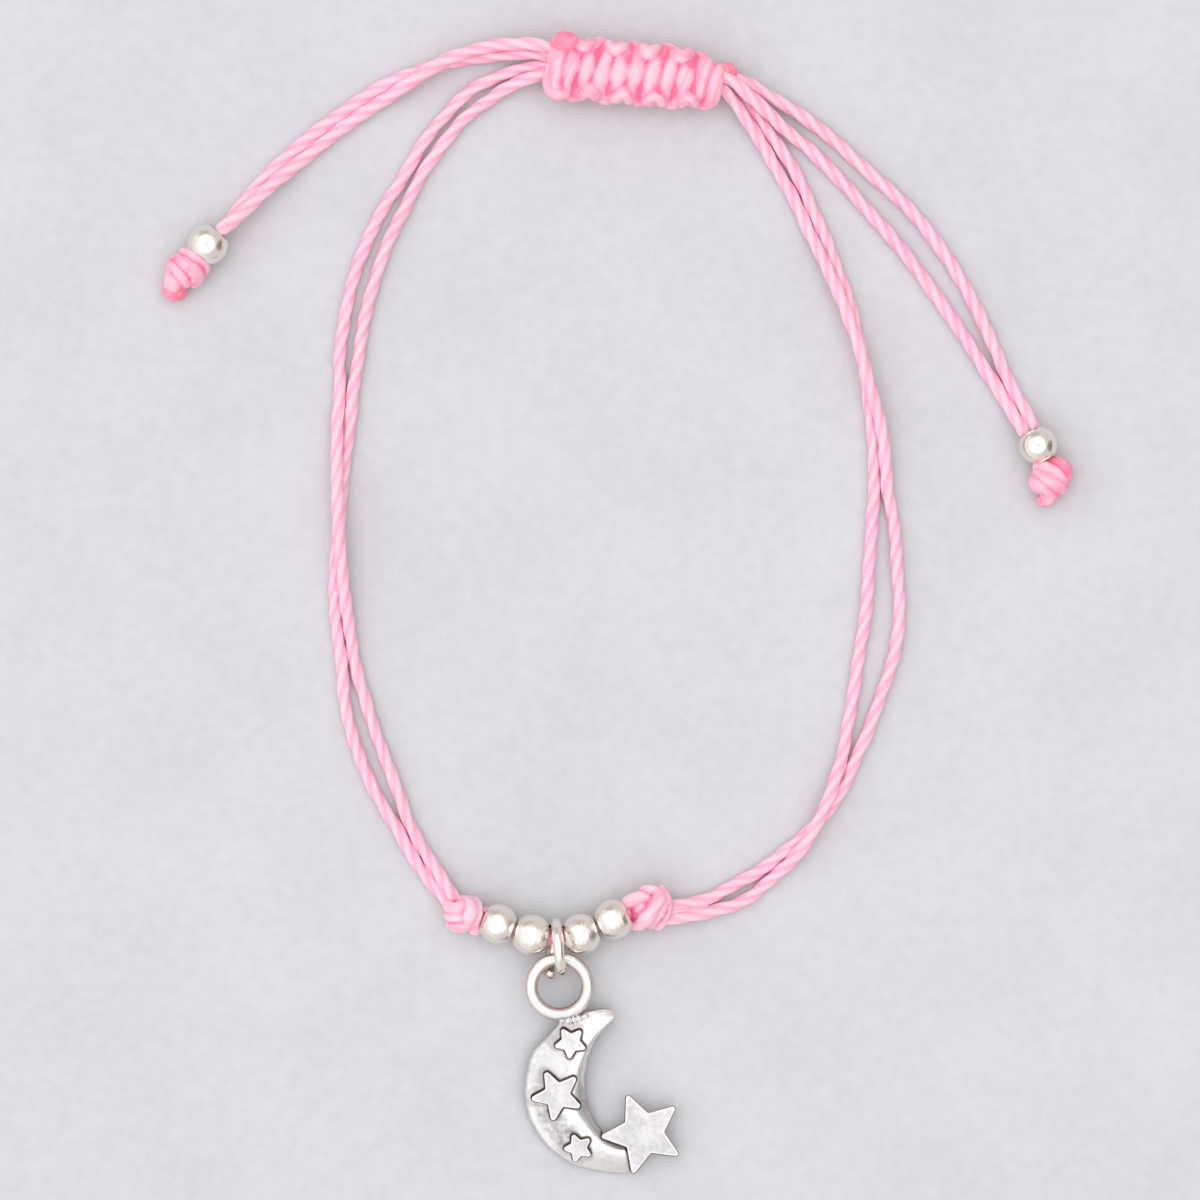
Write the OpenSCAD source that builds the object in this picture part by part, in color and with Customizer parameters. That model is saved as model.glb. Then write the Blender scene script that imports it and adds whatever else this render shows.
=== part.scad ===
// String bracelet: a twisted cord loop with a sliding knot clasp, two beaded tails,
// four silver beads and a crescent-and-stars charm on a jump ring, laid open on a surface.
// Millimetres. +Z is up from the surface, +Y runs from the charm to the clasp.
// The origin is the middle of the wrist opening, on the surface.

/* [Cord] */
// Diameter of the cord drawn round, between its twisted plies' hollows and crests
cord_d = 0.94; // [0.8:0.02:0.94]
// Diameter of a tail where it is squeezed inside its end bead
squeezed_d = 0.74; // [0.6:0.02:0.74]
// Diameter of the doubled thread that carries the beads
thread_d = 1.0; // [0.8:0.05:1.05]

/* [Beads] */
// Widest diameter of a front bead
bead_d = 3.1; // [2.8:0.05:3.1]
// Length of a front bead along the thread
bead_len = 2.35; // [2:0.05:2.35]
// Bore of a front bead
bead_bore = 1.2; // [1.15:0.05:1.5]
// Diameter of the end bead on the left tail
end_bead_left_d = 3.15; // [3:0.05:3.15]
// Diameter of the end bead on the right tail
end_bead_right_d = 3.0; // [2.9:0.05:3.05]
// Length of an end bead along its tail
end_bead_len = 2.5; // [2.2:0.1:2.6]
// Bore of an end bead, which takes both strands of a tail
end_bead_bore = 1.7; // [1.65:0.05:1.9]

/* [Jump ring] */
// Outer diameter of the ring
ring_d = 4.34; // [4.3:0.02:4.4]
// Diameter of its wire
ring_wire = 0.66; // [0.5:0.02:0.66]
// How far the two cut ends lie apart, sideways
ring_lead = 1.0; // [0.7:0.05:1]

/* [Charm] */
// How far the charm leans, from its lower tip up to its eye, in degrees
charm_lean = 5; // [4.5:0.1:5.2]
// Outer radius of the eye
eye_r = 2.55; // [2.5:0.01:2.57]
// Radius of the eye's round band
eye_band_r = 0.43; // [0.4:0.01:0.43]
// Height of the crescent's crest over the charm's back
crest_h = 1.35; // [1.2:0.05:1.4]
// Height of the large star over the charm's back
star_h = 1.25; // [1.1:0.05:1.35]
// Height of the small stars over the charm's back
small_star_h = 1.5; // [1.45:0.05:1.55]

/* [Clasp] */
// Thickness of the sliding knot, from the surface up
clasp_h = 3.4; // [3:0.1:3.5]

/* [Hidden] */
$fn = 48;

pink = [0.98, 0.62, 0.74];
coral = [0.94, 0.5, 0.58];
silver = [0.82, 0.8, 0.78];
old_silver = [0.7, 0.69, 0.67];

// Routes: x, y and height of the cord's centre line. A row without a height lies on the surface.
lie = 0.5;
function route(rows) = [for (p = rows) [p[0], p[1], len(p) > 2 ? p[2] : lie]];

// The left strands cross once: the outer one at the top climbs over and runs inside below.
left_outer = route([[-5.85, 34.0, 0.9], [-6.9, 33.9, 0.7], [-8.3, 33.7], [-9.8, 33.1], [-11.4, 32.2],
  [-12.9, 30.8], [-14.2, 29.3], [-15.5, 27.5], [-16.8, 25.2], [-18.2, 22.9], [-19.3, 20.6],
  [-20.2, 18.3], [-20.8, 16.0], [-21.2, 13.7], [-21.5, 11.4], [-21.5, 9.1], [-21.6, 6.8, 0.8],
  [-21.6, 4.5, 1.3], [-21.6, 2.2, 1.5], [-21.5, -0.2, 1.6], [-21.4, -2.5, 1.5], [-21.2, -4.8, 1.4],
  [-21.0, -7.1, 1.1], [-20.6, -9.4, 0.7], [-20.2, -11.7], [-19.7, -14.0], [-19.0, -16.3],
  [-18.2, -18.6], [-17.3, -20.9], [-16.4, -23.2], [-15.3, -25.5], [-14.2, -27.4],
  [-13.2, -28.9, 0.9], [-12.6, -29.9, 1.3]]);
left_inner = route([[-5.95, 33.3, 1.6], [-6.9, 33.0, 1.3], [-8.3, 32.4, 0.8], [-9.8, 31.5], [-11.4, 30.4],
  [-12.9, 28.7], [-14.2, 27.0], [-15.3, 25.2], [-16.5, 22.9], [-17.7, 20.6], [-18.5, 18.3],
  [-19.2, 16.0], [-19.7, 13.7], [-20.0, 11.4], [-20.3, 9.1], [-20.6, 6.8], [-20.9, 4.5],
  [-21.2, 2.2], [-21.4, -0.2], [-21.6, -2.5], [-21.8, -4.8], [-21.8, -7.1], [-21.7, -9.4],
  [-21.4, -11.7], [-21.2, -14.0], [-20.8, -16.3], [-20.1, -18.6], [-19.2, -20.9], [-18.0, -23.2],
  [-16.8, -25.5], [-15.7, -27.4], [-14.5, -29.0], [-13.4, -30.2, 0.8]]);
// The right strands cross twice, first one on top and then the other.
right_outer = route([[8.3, 32.1, 1.7], [9.0, 31.1, 1.5], [10.0, 29.7, 0.9], [10.9, 28.2, 0.6],
  [11.9, 26.4], [13.0, 24.6], [13.9, 22.9], [14.7, 21.2, 0.6], [15.6, 19.5, 1.0], [16.4, 17.7, 1.2],
  [17.2, 16.0, 1.4], [17.8, 14.3, 1.5], [18.4, 12.7, 1.6], [18.8, 11.4, 1.6], [19.2, 9.8, 1.6],
  [19.6, 8.5, 1.5], [20.1, 6.8, 1.4], [20.5, 4.5, 1.1], [20.7, 2.2, 0.8], [21.1, -0.2],
  [21.4, -2.5], [21.5, -4.8], [21.7, -7.1], [21.6, -9.4], [21.2, -11.7], [20.4, -14.0],
  [19.6, -16.3], [18.7, -18.6], [17.7, -20.9], [16.8, -22.5], [15.8, -23.8], [14.5, -25.1],
  [13.2, -26.2], [11.7, -27.3], [10.0, -28.4], [8.2, -29.3], [6.5, -30.0, 0.7], [4.3, -30.5, 1.2]]);
right_inner = route([[9.1, 32.2, 0.9], [9.8, 31.3, 0.6], [10.8, 30.2], [11.8, 28.9], [12.8, 27.5],
  [13.7, 26.0], [14.5, 24.5], [15.2, 22.6], [15.9, 21.1], [16.5, 19.4], [17.2, 17.6], [17.8, 16.0],
  [18.2, 14.3], [18.6, 12.7], [18.9, 11.4], [19.1, 9.8], [19.3, 8.3], [19.5, 6.8], [19.7, 4.5],
  [19.7, 2.2], [19.6, -0.2], [19.5, -2.5], [19.3, -4.8], [19.2, -7.1], [18.9, -9.4],
  [18.5, -11.7], [18.2, -14.0], [17.8, -16.3], [17.3, -18.6, 0.6], [16.7, -20.9, 1.0],
  [16.1, -22.6, 1.4], [15.3, -24.2, 1.6], [14.5, -25.7, 1.4], [13.3, -27.2, 1.0],
  [11.8, -28.7, 0.6], [10.2, -30.0], [8.2, -30.9, 0.6], [6.3, -31.4, 0.9], [4.4, -31.6, 1.3]]);
// Each tail is two strands that end inside the bead, one beside the other.
left_low = route([[-5.85, 34.9, 1.4], [-6.9, 35.0, 1.1], [-8.5, 34.9, 0.8], [-10.0, 34.8, 0.6],
  [-11.7, 34.6], [-13.4, 34.3], [-15.0, 33.8], [-16.8, 33.2], [-18.5, 32.4], [-20.1, 31.4],
  [-21.6, 30.3], [-23.1, 29.2], [-24.5, 28.0], [-25.9, 26.8], [-27.2, 25.5], [-28.5, 24.0, 0.6],
  [-29.6, 22.5, 0.9], [-30.4, 21.4, 1.1], [-31.5, 20.2, 1.2], [-32.3, 19.3, 1.2]]);
left_high = route([[-5.7, 35.5, 2.2], [-7.5, 35.6, 1.8], [-9.1, 35.6, 1.5], [-10.6, 35.3, 1.5],
  [-12.2, 34.8, 1.5], [-13.7, 34.1, 1.6], [-14.8, 33.4, 1.5], [-15.8, 32.8, 1.4], [-16.5, 32.3, 1.2],
  [-17.2, 31.8, 0.9], [-18.0, 31.3, 0.7], [-19.5, 30.4], [-21.1, 29.3], [-22.5, 28.2], [-24.0, 27.0],
  [-25.2, 26.0, 0.8], [-26.0, 25.3, 1.1], [-26.8, 24.6, 1.4], [-28.0, 23.4, 1.6], [-29.3, 22.1, 1.9],
  [-30.4, 21.4, 2.0], [-31.5, 20.2, 2.0], [-32.2, 19.4, 2.0]]);
right_low = route([[8.8, 32.8, 2.4], [9.8, 31.8, 2.2], [10.6, 31.0, 1.9], [11.4, 30.4, 1.6],
  [12.3, 29.6, 1.2], [13.2, 28.8, 0.8], [14.6, 27.8], [15.6, 26.8], [17.4, 25.0], [19.0, 23.2],
  [20.7, 21.3], [22.2, 19.5], [23.6, 17.6], [24.9, 15.8], [26.2, 13.9], [27.4, 12.1], [28.5, 10.2],
  [29.6, 8.4], [30.2, 7.5, 0.8], [30.7, 6.6, 1.2], [31.3, 5.7, 1.5], [31.9, 4.6, 1.5], [32.5, 3.6, 1.5]]);
right_high = route([[9.4, 32.9, 1.6], [11.4, 31.9, 1.1], [13.7, 30.5, 0.6], [15.0, 29.6], [16.2, 28.7],
  [18.3, 26.8], [20.3, 25.0], [22.3, 23.2], [23.9, 21.3], [25.2, 19.5], [26.4, 17.6], [27.4, 15.8],
  [28.3, 13.9], [29.1, 12.1], [30.0, 10.2], [30.9, 8.4], [31.4, 7.5, 0.8], [31.7, 6.7, 1.2],
  [32.0, 6.0, 1.5], [32.6, 5.0, 1.5], [33.2, 4.0, 1.5]]);
// Front beads: x, y, and the direction of the bore in degrees.
front_beads = [[-9.2, -31.95, -26], [-6.7, -32.78, -12], [-2.75, -32.7, 17], [-0.35, -31.6, 31]];
// The thread through them, from knot to knot: it follows each bore and sags to the ring between.
function on_bore(b, s) = [b[0] + s * cos(b[2]), b[1] + s * sin(b[2]), bead_d / 2];
thread = concat([on_bore(front_beads[0], -1.5), on_bore(front_beads[0], 1.1)],
  [on_bore(front_beads[1], -1.1), on_bore(front_beads[1], 1.3)], [[-4.7, -33.05, bead_d / 2]],
  [on_bore(front_beads[2], -1.3), on_bore(front_beads[2], 1.1)],
  [on_bore(front_beads[3], -1.1), on_bore(front_beads[3], 1.5)]);
// End beads: x, y, diameter, direction of the bore in degrees.
left_bead = [-31.5, 20.2, end_bead_left_d, 229];
right_bead = [32.25, 4.8, end_bead_right_d, 300];

// Lobes of each small knot: x, y and z from the knot's middle, and the lobe's radius.
front_left_at = [-11.85, -31.2, 1.35];
front_left_lobes = [[0, 0, 0, 1.3], [-0.85, 0.55, 0.3, 0.6], [-0.9, -0.1, 0.35, 0.6],
  [-0.45, -0.85, 0.2, 0.6], [0.35, 0.85, 0.3, 0.6], [0.25, -0.85, 0.2, 0.55],
  [0.85, 0.45, 0.3, 0.55], [0.9, -0.2, 0.3, 0.55], [0.8, -1.15, 0.1, 0.45]];
front_right_at = [2.35, -31.0, 1.4];
front_right_lobes = [[0, 0, 0, 1.35], [-0.8, 0.7, 0.3, 0.65], [0.1, 1.0, 0.3, 0.6], [-0.6, -0.95, 0.2, 0.65],
  [0.35, 0, 0.65, 0.75], [1.0, 0.95, 0.1, 0.6], [1.25, 0.1, 0, 0.6], [1.15, -0.8, 0, 0.6],
  [0.3, -1.0, 0.3, 0.6], [-1.2, 0, -0.1, 0.6]];
end_left_at = [-33.0, 18.2, 1.25];
end_left_lobes = [[0, 0, 0, 1.2], [0.45, 0.65, 0.5, 0.7], [-0.1, 0.2, 0.65, 0.75], [-0.85, -0.3, 0.3, 0.7],
  [0.75, -0.35, 0.1, 0.7], [-1.1, -1.1, 0.1, 0.75], [0.1, -0.8, 0.1, 0.7]];
end_right_at = [33.4, 2.4, 1.2];
end_right_lobes = [[0, 0, 0, 1.15], [-0.7, 0.7, 0.4, 0.7], [0.2, 0.35, 0.6, 0.75], [0.95, 0.5, 0.2, 0.65],
  [0.85, -0.3, 0.2, 0.65], [0.2, -0.8, 0.1, 0.7], [0.2, -1.65, -0.2, 0.65], [-0.7, -0.1, 0.1, 0.65]];

// Sliding knot: distance along it, reach to the upper side, reach to the lower side, share of its thickness.
clasp_at = [-5.6, 33.85];
clasp_turn = -5;
clasp_rows = [[0, 1.6, 1.8, 0.6], [0.15, 2.1, 2.3, 0.75], [0.55, 2.6, 2.6, 0.86], [1.0, 3.0, 2.8, 0.94],
  [1.9, 3.1, 2.5, 1], [2.8, 2.7, 2.3, 0.95], [3.8, 2.9, 2.5, 1], [4.7, 2.6, 2.3, 0.95],
  [5.2, 2.4, 2.5, 0.97], [6.1, 2.7, 2.5, 1], [7.0, 2.7, 2.4, 0.96], [7.9, 2.5, 2.3, 0.96],
  [8.8, 2.7, 2.35, 1], [9.8, 2.65, 2.2, 0.96], [10.2, 2.4, 2.2, 0.95], [11.1, 2.7, 2.2, 1],
  [12.1, 2.4, 2.3, 0.95], [13.0, 1.8, 2.2, 0.86], [13.4, 1.7, 2.1, 0.7]];
// Melted cord end past the knot's right end: along, middle, half width.
lump_rows = [[13.5, 1.1, 0.5], [13.9, 1.1, 0.55], [14.3, 1.1, 0.5], [14.6, 1.1, 0.3]];
lump_z = 1.75;

// Crescent, measured round the middle of its curve: angle, inner radius, outer radius, share of its height.
crescent_at = [3.03, -8.54];
crescent_rows = [[80, 6.35, 6.6, 0.45], [82, 5.9, 6.8, 0.55], [87, 5.2, 6.85, 0.72], [93, 4.6, 6.8, 0.85],
  [99, 4.0, 6.75, 0.92], [105, 3.35, 6.65, 0.96], [112, 2.8, 6.5, 1], [118, 2.35, 6.6, 1],
  [122, 2.2, 6.35, 1], [130, 1.85, 6.3, 1], [140, 1.5, 6.2, 1], [150, 1.3, 6.15, 1],
  [160, 1.2, 6.0, 1], [172, 1.1, 5.8, 1], [185, 1.05, 5.7, 1], [198, 1.05, 5.6, 1],
  [210, 1.1, 5.5, 1], [224, 1.25, 5.45, 1], [239, 1.45, 5.4, 1], [253, 1.8, 5.55, 1],
  [266, 2.3, 5.65, 0.97], [274, 2.8, 5.75, 0.94], [282, 3.25, 5.9, 0.9], [290, 3.7, 6.15, 0.86],
  [296, 4.0, 6.3, 0.82]];
// Its section, from the outer rim across to the inner rim: place across, share of the crest height.
crescent_section = [[0, 0.24], [0.06, 0.42], [0.2, 0.6], [0.42, 0.83], [0.62, 0.96], [0.76, 1],
  [0.87, 0.86], [1, 0.35]];
// Stars: x, y, tip radius, notch radius, direction of the upper tip, height over the back.
big_star = [6.34, -11.23, 3.23, 1.52, 112.2];
small_stars = [[0.78, -4.23, 1.32, 0.72, 121.8], [-0.25, -8.28, 2.0, 0.94, 116.4],
  [1.37, -12.31, 1.13, 0.65, 111.3]];
back = -0.5;
eye_z = 14.5 * sin(charm_lean) - back * cos(charm_lean) + 0.02;

function unit(v) = v / norm(v);
function heading(p, i) = i == 0 ? unit(p[1] - p[0])
  : i == len(p) - 1 ? unit(p[i] - p[i - 1])
  : unit(unit(p[i + 1] - p[i]) + unit(p[i] - p[i - 1]));
function around(p, i, r, ref, n) = let(t = heading(p, i), s = unit(cross(ref, t)), u = cross(t, s))
  [for (k = [0:n - 1]) let(a = 360 * (k + 0.5) / n) p[i] + r * (cos(a) * s + sin(a) * u)];

// Closed skin over a stack of equal rings of points, with flat ends.
module skin(rings) {
  m = len(rings);
  n = len(rings[0]);
  polyhedron(
    points = [for (r = rings) each r],
    faces = concat([[for (k = [0:n - 1]) k]],
      [for (i = [0:m - 2], k = [0:n - 1]) let(j = (k + 1) % n)
        each [[i * n + k, i * n + n + k, i * n + n + j], [i * n + k, i * n + n + j, i * n + j]]],
      [[for (k = [n - 1:-1:0]) (m - 1) * n + k]]),
    convexity = 12);
}

// Round cord swept along a route. One radius for each point.
module cord(p, radii, ref = [0, 0, 1], n = 8)
  skin([for (i = [0:len(p) - 1]) around(p, i, radii[i], ref, n)]);
module strand(p) cord(p, [for (q = p) cord_d / 2]);
// A tail narrows over its last five points, into the bead.
module tail(p) cord(p, [for (i = [0:len(p) - 1]) let(k = max(0, min(1, (i - len(p) + 5) / 2)))
  (cord_d * (1 - k) + squeezed_d * k) / 2]);

// Distance from a lump's middle to its skin, in direction d: its lobes merged softly,
// then cut by the surface below and by a bead's round side.
function lobe_reach(d, l) = let(c = [l[0], l[1], l[2]], b = d * c, q = l[3] * l[3] - c * c + b * b)
  q > 0 ? max(0.01, b + sqrt(q)) : 0.01;
function soft_reach(d, lobes) = pow([for (l = lobes) pow(lobe_reach(d, l), 18)] * [for (l = lobes) 1], 1 / 18);
function floor_reach(d, h) = d[2] < -0.001 ? -h / d[2] : 1000;
function bead_reach(d, c, r) = let(b = d * c, q = r * r - c * c + b * b) q > 0 && b > 0 ? b - sqrt(q) : 1000;
module lump(at, lobes, bead_at = [0, 0, 100], bead_r = 1, rows = 12, n = 24) {
  dirs = [for (i = [1:rows - 1]) [for (k = [0:n - 1]) let(a = 180 * i / rows, b = 360 * k / n)
    [sin(a) * cos(b), sin(a) * sin(b), cos(a)]]];
  function place(d) = at + d * min(soft_reach(d, lobes), floor_reach(d, at[2]),
    bead_reach(d, bead_at - at, bead_r));
  m = rows - 1;
  points = concat([for (r = dirs) each [for (d = r) place(d)]], [place([0, 0, 1]), place([0, 0, -1])]);
  polyhedron(points = points,
    faces = concat(
      [for (k = [0:n - 1]) [m * n, (k + 1) % n, k]],
      [for (i = [0:m - 2], k = [0:n - 1]) let(j = (k + 1) % n)
        each [[i * n + k, i * n + j, i * n + n + j], [i * n + k, i * n + n + j, i * n + n + k]]],
      [for (k = [0:n - 1]) [m * n + 1, (m - 1) * n + k, (m - 1) * n + (k + 1) % n]]),
    convexity = 6);
}

// Round bead with flat ends, bored through, its bore along X.
module bead(d, len, bore) rotate([0, 90, 0]) rotate_extrude() intersection() {
  circle(d = d);
  translate([bore / 2, -len / 2]) square([d, len]);
}
module front_bead(i) color(silver) translate([front_beads[i][0], front_beads[i][1], bead_d / 2])
  rotate(front_beads[i][2]) bead(bead_d, bead_len, bead_bore);
module end_bead(b) color(silver) translate([b[0], b[1], b[2] / 2]) rotate(b[3])
  bead(b[2], end_bead_len, end_bead_bore);

module bead_1() front_bead(0);
module bead_2() front_bead(1);
module bead_3() front_bead(2);
module bead_4() front_bead(3);
module end_bead_left() end_bead(left_bead);
module end_bead_right() end_bead(right_bead);
module bead_thread() color(pink) cord(thread, [for (q = thread) thread_d / 2], n = 8);

module loop_left_outer() color(pink) strand(left_outer);
module loop_left_inner() color(pink) strand(left_inner);
module loop_right_outer() color(pink) strand(right_outer);
module loop_right_inner() color(pink) strand(right_inner);
module tail_left_low() color(pink) tail(left_low);
module tail_left_high() color(pink) tail(left_high);
module tail_right_low() color(pink) tail(right_low);
module tail_right_high() color(pink) tail(right_high);

module front_knot_left() color(pink) lump(front_left_at, front_left_lobes,
  on_bore(front_beads[0], 0), bead_d / 2 + 0.06);
module front_knot_right() color(pink) lump(front_right_at, front_right_lobes,
  on_bore(front_beads[3], 0), bead_d / 2 + 0.06);
module end_knot_left() color(coral) lump(end_left_at, end_left_lobes,
  [left_bead[0], left_bead[1], left_bead[2] / 2], left_bead[2] / 2 + 0.06);
module end_knot_right() color(coral) lump(end_right_at, end_right_lobes,
  [right_bead[0], right_bead[1], right_bead[2] / 2], right_bead[2] / 2 + 0.06);

// Sliding square-knot clasp: an oval body whose sides swell where its loops turn.
module sliding_knot() color(pink) {
  h = clasp_h / 2;
  n = 16;
  body = [for (r = clasp_rows) [for (k = [0:n - 1]) let(a = 360 * (k + 0.5) / n, c = cos(a), s = sin(a))
    [r[0], (c > 0 ? r[1] : r[2]) * sign(c) * pow(abs(c), 0.8), h + h * r[3] * sign(s) * pow(abs(s), 0.8)]]];
  end = [for (r = lump_rows) [for (k = [0:n - 1]) let(a = 360 * (k + 0.5) / n)
    [r[0], r[1] + r[2] * cos(a), lump_z + r[2] * sin(a)]]];
  translate([clasp_at[0], clasp_at[1], 0]) rotate(clasp_turn) skin(concat(body, end));
}

// Open jump ring standing on edge: one turn of a coil, its ends side by side.
module jump_ring() color(silver) {
  c = [-4.31, -33.71, ring_d / 2];
  r = (ring_d - ring_wire) / 2;
  turn = [for (a = [-8:12:340]) let(q = r + 0.006 * max(0, a - 280))
    c + [-ring_lead * a / 360, -q * cos(a), q * sin(a)]];
  cord(turn, [for (q = turn) ring_wire / 2], [1, 0, 0], 10);
}

// Crescent: one domed section carried along its curve.
module crescent() {
  rings = [for (q = crescent_rows) let(w = q[2] - q[1])
    concat(
      [for (s = crescent_section) let(r = q[2] - s[0] * w)
        [crescent_at[0] + r * cos(q[0]), crescent_at[1] + r * sin(q[0]), back + crest_h * q[3] * s[1]]],
      [for (s = [0.97, 0.03]) let(r = q[2] - s * w)
        [crescent_at[0] + r * cos(q[0]), crescent_at[1] + r * sin(q[0]), back + 0.05]])];
  skin([for (r = rings) [for (k = [len(r) - 1:-1:0]) r[k]]]);
}
// Five-pointed star with softly rounded tips: each tip is five points round an arc.
module star(row, base, h) {
  tip = 0.2;
  polygon_points = [for (i = [0:4]) let(a = row[4] + 72 * i, c = (row[2] - tip) * [cos(a), sin(a)],
      b = a + 36, q = row[3] * [cos(b), sin(b)])
    each concat([for (k = [-2:2]) c + tip * [cos(a + 36 * k), sin(a + 36 * k)]], [q])];
  translate([row[0], row[1], back + base]) linear_extrude(height = h - base) polygon(polygon_points);
}
// Charm: eye, crescent, three small stars on it and a large star at its lower end, one casting.
module pendant() color(old_silver) translate([-4.42, -36.82, eye_z]) rotate([charm_lean, 0, 0]) union() {
  rotate_extrude() translate([eye_r - eye_band_r, 0]) circle(r = eye_band_r, $fn = 32);
  crescent();
  star(big_star, 0, star_h);
  for (s = small_stars) star(s, 0.3, small_star_h);
  for (p = [[0.1, -2.75, 0.4], [0.9, -2.65, 0.42], [1.6, -2.35, 0.4]])
    translate([p[0], p[1], -0.3]) cylinder(r = p[2], h = 0.7);
}

sliding_knot();
loop_left_outer();
loop_left_inner();
loop_right_outer();
loop_right_inner();
tail_left_low();
tail_left_high();
tail_right_low();
tail_right_high();
end_bead_left();
end_bead_right();
end_knot_left();
end_knot_right();
front_knot_left();
front_knot_right();
bead_thread();
bead_1();
bead_2();
bead_3();
bead_4();
jump_ring();
pendant();
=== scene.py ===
"""String bracelet of twisted pink cord with a sliding square-knot clasp, two beaded tails,
four silver beads and a crescent-and-stars charm, laid open on a pale surface.

Lengths in the tables are millimetres in the object's own frame: +Z up from the surface.
"""
import math

import bpy
import numpy as np
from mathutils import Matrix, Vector, kdtree, noise


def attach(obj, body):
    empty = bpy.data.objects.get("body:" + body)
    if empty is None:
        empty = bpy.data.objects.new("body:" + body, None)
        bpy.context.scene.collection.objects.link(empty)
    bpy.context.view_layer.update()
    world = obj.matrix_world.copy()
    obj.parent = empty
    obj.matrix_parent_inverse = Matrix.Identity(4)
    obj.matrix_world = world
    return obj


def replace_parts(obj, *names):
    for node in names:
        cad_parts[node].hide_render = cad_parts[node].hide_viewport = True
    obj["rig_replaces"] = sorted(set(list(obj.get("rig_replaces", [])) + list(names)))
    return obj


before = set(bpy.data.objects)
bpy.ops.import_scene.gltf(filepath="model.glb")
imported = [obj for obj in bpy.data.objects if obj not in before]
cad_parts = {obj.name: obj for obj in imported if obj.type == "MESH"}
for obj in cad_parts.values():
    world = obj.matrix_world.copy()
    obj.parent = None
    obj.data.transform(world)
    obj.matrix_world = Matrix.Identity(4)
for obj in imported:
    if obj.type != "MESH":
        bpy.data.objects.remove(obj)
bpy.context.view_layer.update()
MM = 0.001
scene = bpy.context.scene

# ---------------------------------------------------------------- camera
CAM_X, CAM_Y, CAM_Z = -1.385, -7.08, 351.0
camera = bpy.data.objects.new("camera", bpy.data.cameras.new("camera"))
camera.data.type = "PERSP"
camera.data.sensor_width = 36.0
camera.data.lens = 136.5
camera.data.clip_start = 0.01
camera.data.clip_end = 20.0
camera.data.dof.use_dof = False
camera.location = (CAM_X * MM, CAM_Y * MM, CAM_Z * MM)
scene.collection.objects.link(camera)
scene.camera = camera


def spot(x, y, z):
    """The point at height z that the camera sees at x, y of its 1200 x 1200 frame."""
    k = (CAM_Z - z) / (CAM_Z - 1.0) / 13.0
    return (CAM_X + (x - 600.0) * k, CAM_Y - (y - 600.0) * k, z)


def spots(rows):
    return [spot(*r) for r in rows]


# ---------------------------------------------------------------- curves
def arc_length(p):
    return np.concatenate([[0.0], np.cumsum(np.linalg.norm(np.diff(p, axis=0), axis=1))])


def resample(p, step, s=None):
    s = arc_length(p) if s is None else s
    n = max(4, int(round(s[-1] / step)) + 1)
    u = np.linspace(0.0, s[-1], n)
    return np.stack([np.interp(u, s, p[:, k]) for k in range(3)], axis=1)


def spline(points, step):
    """Natural cubic spline through the points, resampled evenly."""
    p = np.array(points, float)
    n = len(p)
    h = np.linalg.norm(np.diff(p, axis=0), axis=1)
    t = np.concatenate([[0.0], np.cumsum(h)])
    a = np.zeros((n, n))
    b = np.zeros((n, 3))
    a[0, 0] = a[-1, -1] = 1.0
    for i in range(1, n - 1):
        a[i, i - 1], a[i, i], a[i, i + 1] = h[i - 1], 2 * (h[i - 1] + h[i]), h[i]
        b[i] = 6 * ((p[i + 1] - p[i]) / h[i] - (p[i] - p[i - 1]) / h[i - 1])
    m = np.linalg.solve(a, b)
    u = np.linspace(0.0, t[-1], max(16, int(t[-1] / step * 3)))
    i = np.clip(np.searchsorted(t, u, side="right") - 1, 0, n - 2)
    x, y, g = (u - t[i])[:, None], (t[i + 1] - u)[:, None], h[i][:, None]
    q = (m[i] * y**3 + m[i + 1] * x**3) / (6 * g)
    q += (p[i] / g - m[i] * g / 6) * y + (p[i + 1] / g - m[i + 1] * g / 6) * x
    return resample(q, step)


def relax(p, sigma, step):
    """Smooths a path over sigma millimetres and keeps its ends."""
    r = int(3 * sigma / step)
    k = np.exp(-0.5 * (np.arange(-r, r + 1) * step / sigma) ** 2)
    k /= k.sum()
    r = min(r, len(p) - 1)
    k = k[len(k) // 2 - r : len(k) // 2 + r + 1]
    k /= k.sum()
    wide = np.concatenate([2 * p[0] - p[r:0:-1], p, 2 * p[-1] - p[-2 : -r - 2 : -1]])
    q = np.stack([np.convolve(wide[:, j], k, mode="valid") for j in range(3)], axis=1)
    return resample(q, step)


def extend(p, before=0.0, after=0.0, step=0.1):
    """Carries a path straight on past its ends."""
    out = [p]
    if before > 0:
        d = (p[0] - p[5]) / np.linalg.norm(p[0] - p[5])
        n = max(1, int(round(before / step)))
        out.insert(0, np.array([p[0] + d * before * k / n for k in range(n, 0, -1)]))
    if after > 0:
        d = (p[-1] - p[-6]) / np.linalg.norm(p[-1] - p[-6])
        n = max(1, int(round(after / step)))
        out.append(np.array([p[-1] + d * after * k / n for k in range(1, n + 1)]))
    return np.concatenate(out)


def frames(p, ref=(0.0, 0.0, 1.0)):
    """Directions along and across a path, carried along it without spinning."""
    t = np.gradient(p, axis=0)
    t /= np.linalg.norm(t, axis=1)[:, None]
    n = np.empty_like(t)
    first = np.cross(ref, t[0])
    if np.linalg.norm(first) < 0.2:
        first = np.cross((1.0, 0.0, 0.0), t[0])
    n[0] = first / np.linalg.norm(first)
    for i in range(1, len(t)):
        v = n[i - 1] - t[i] * float(n[i - 1] @ t[i])
        n[i] = v / np.linalg.norm(v)
    return t, n, np.cross(t, n)


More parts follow.
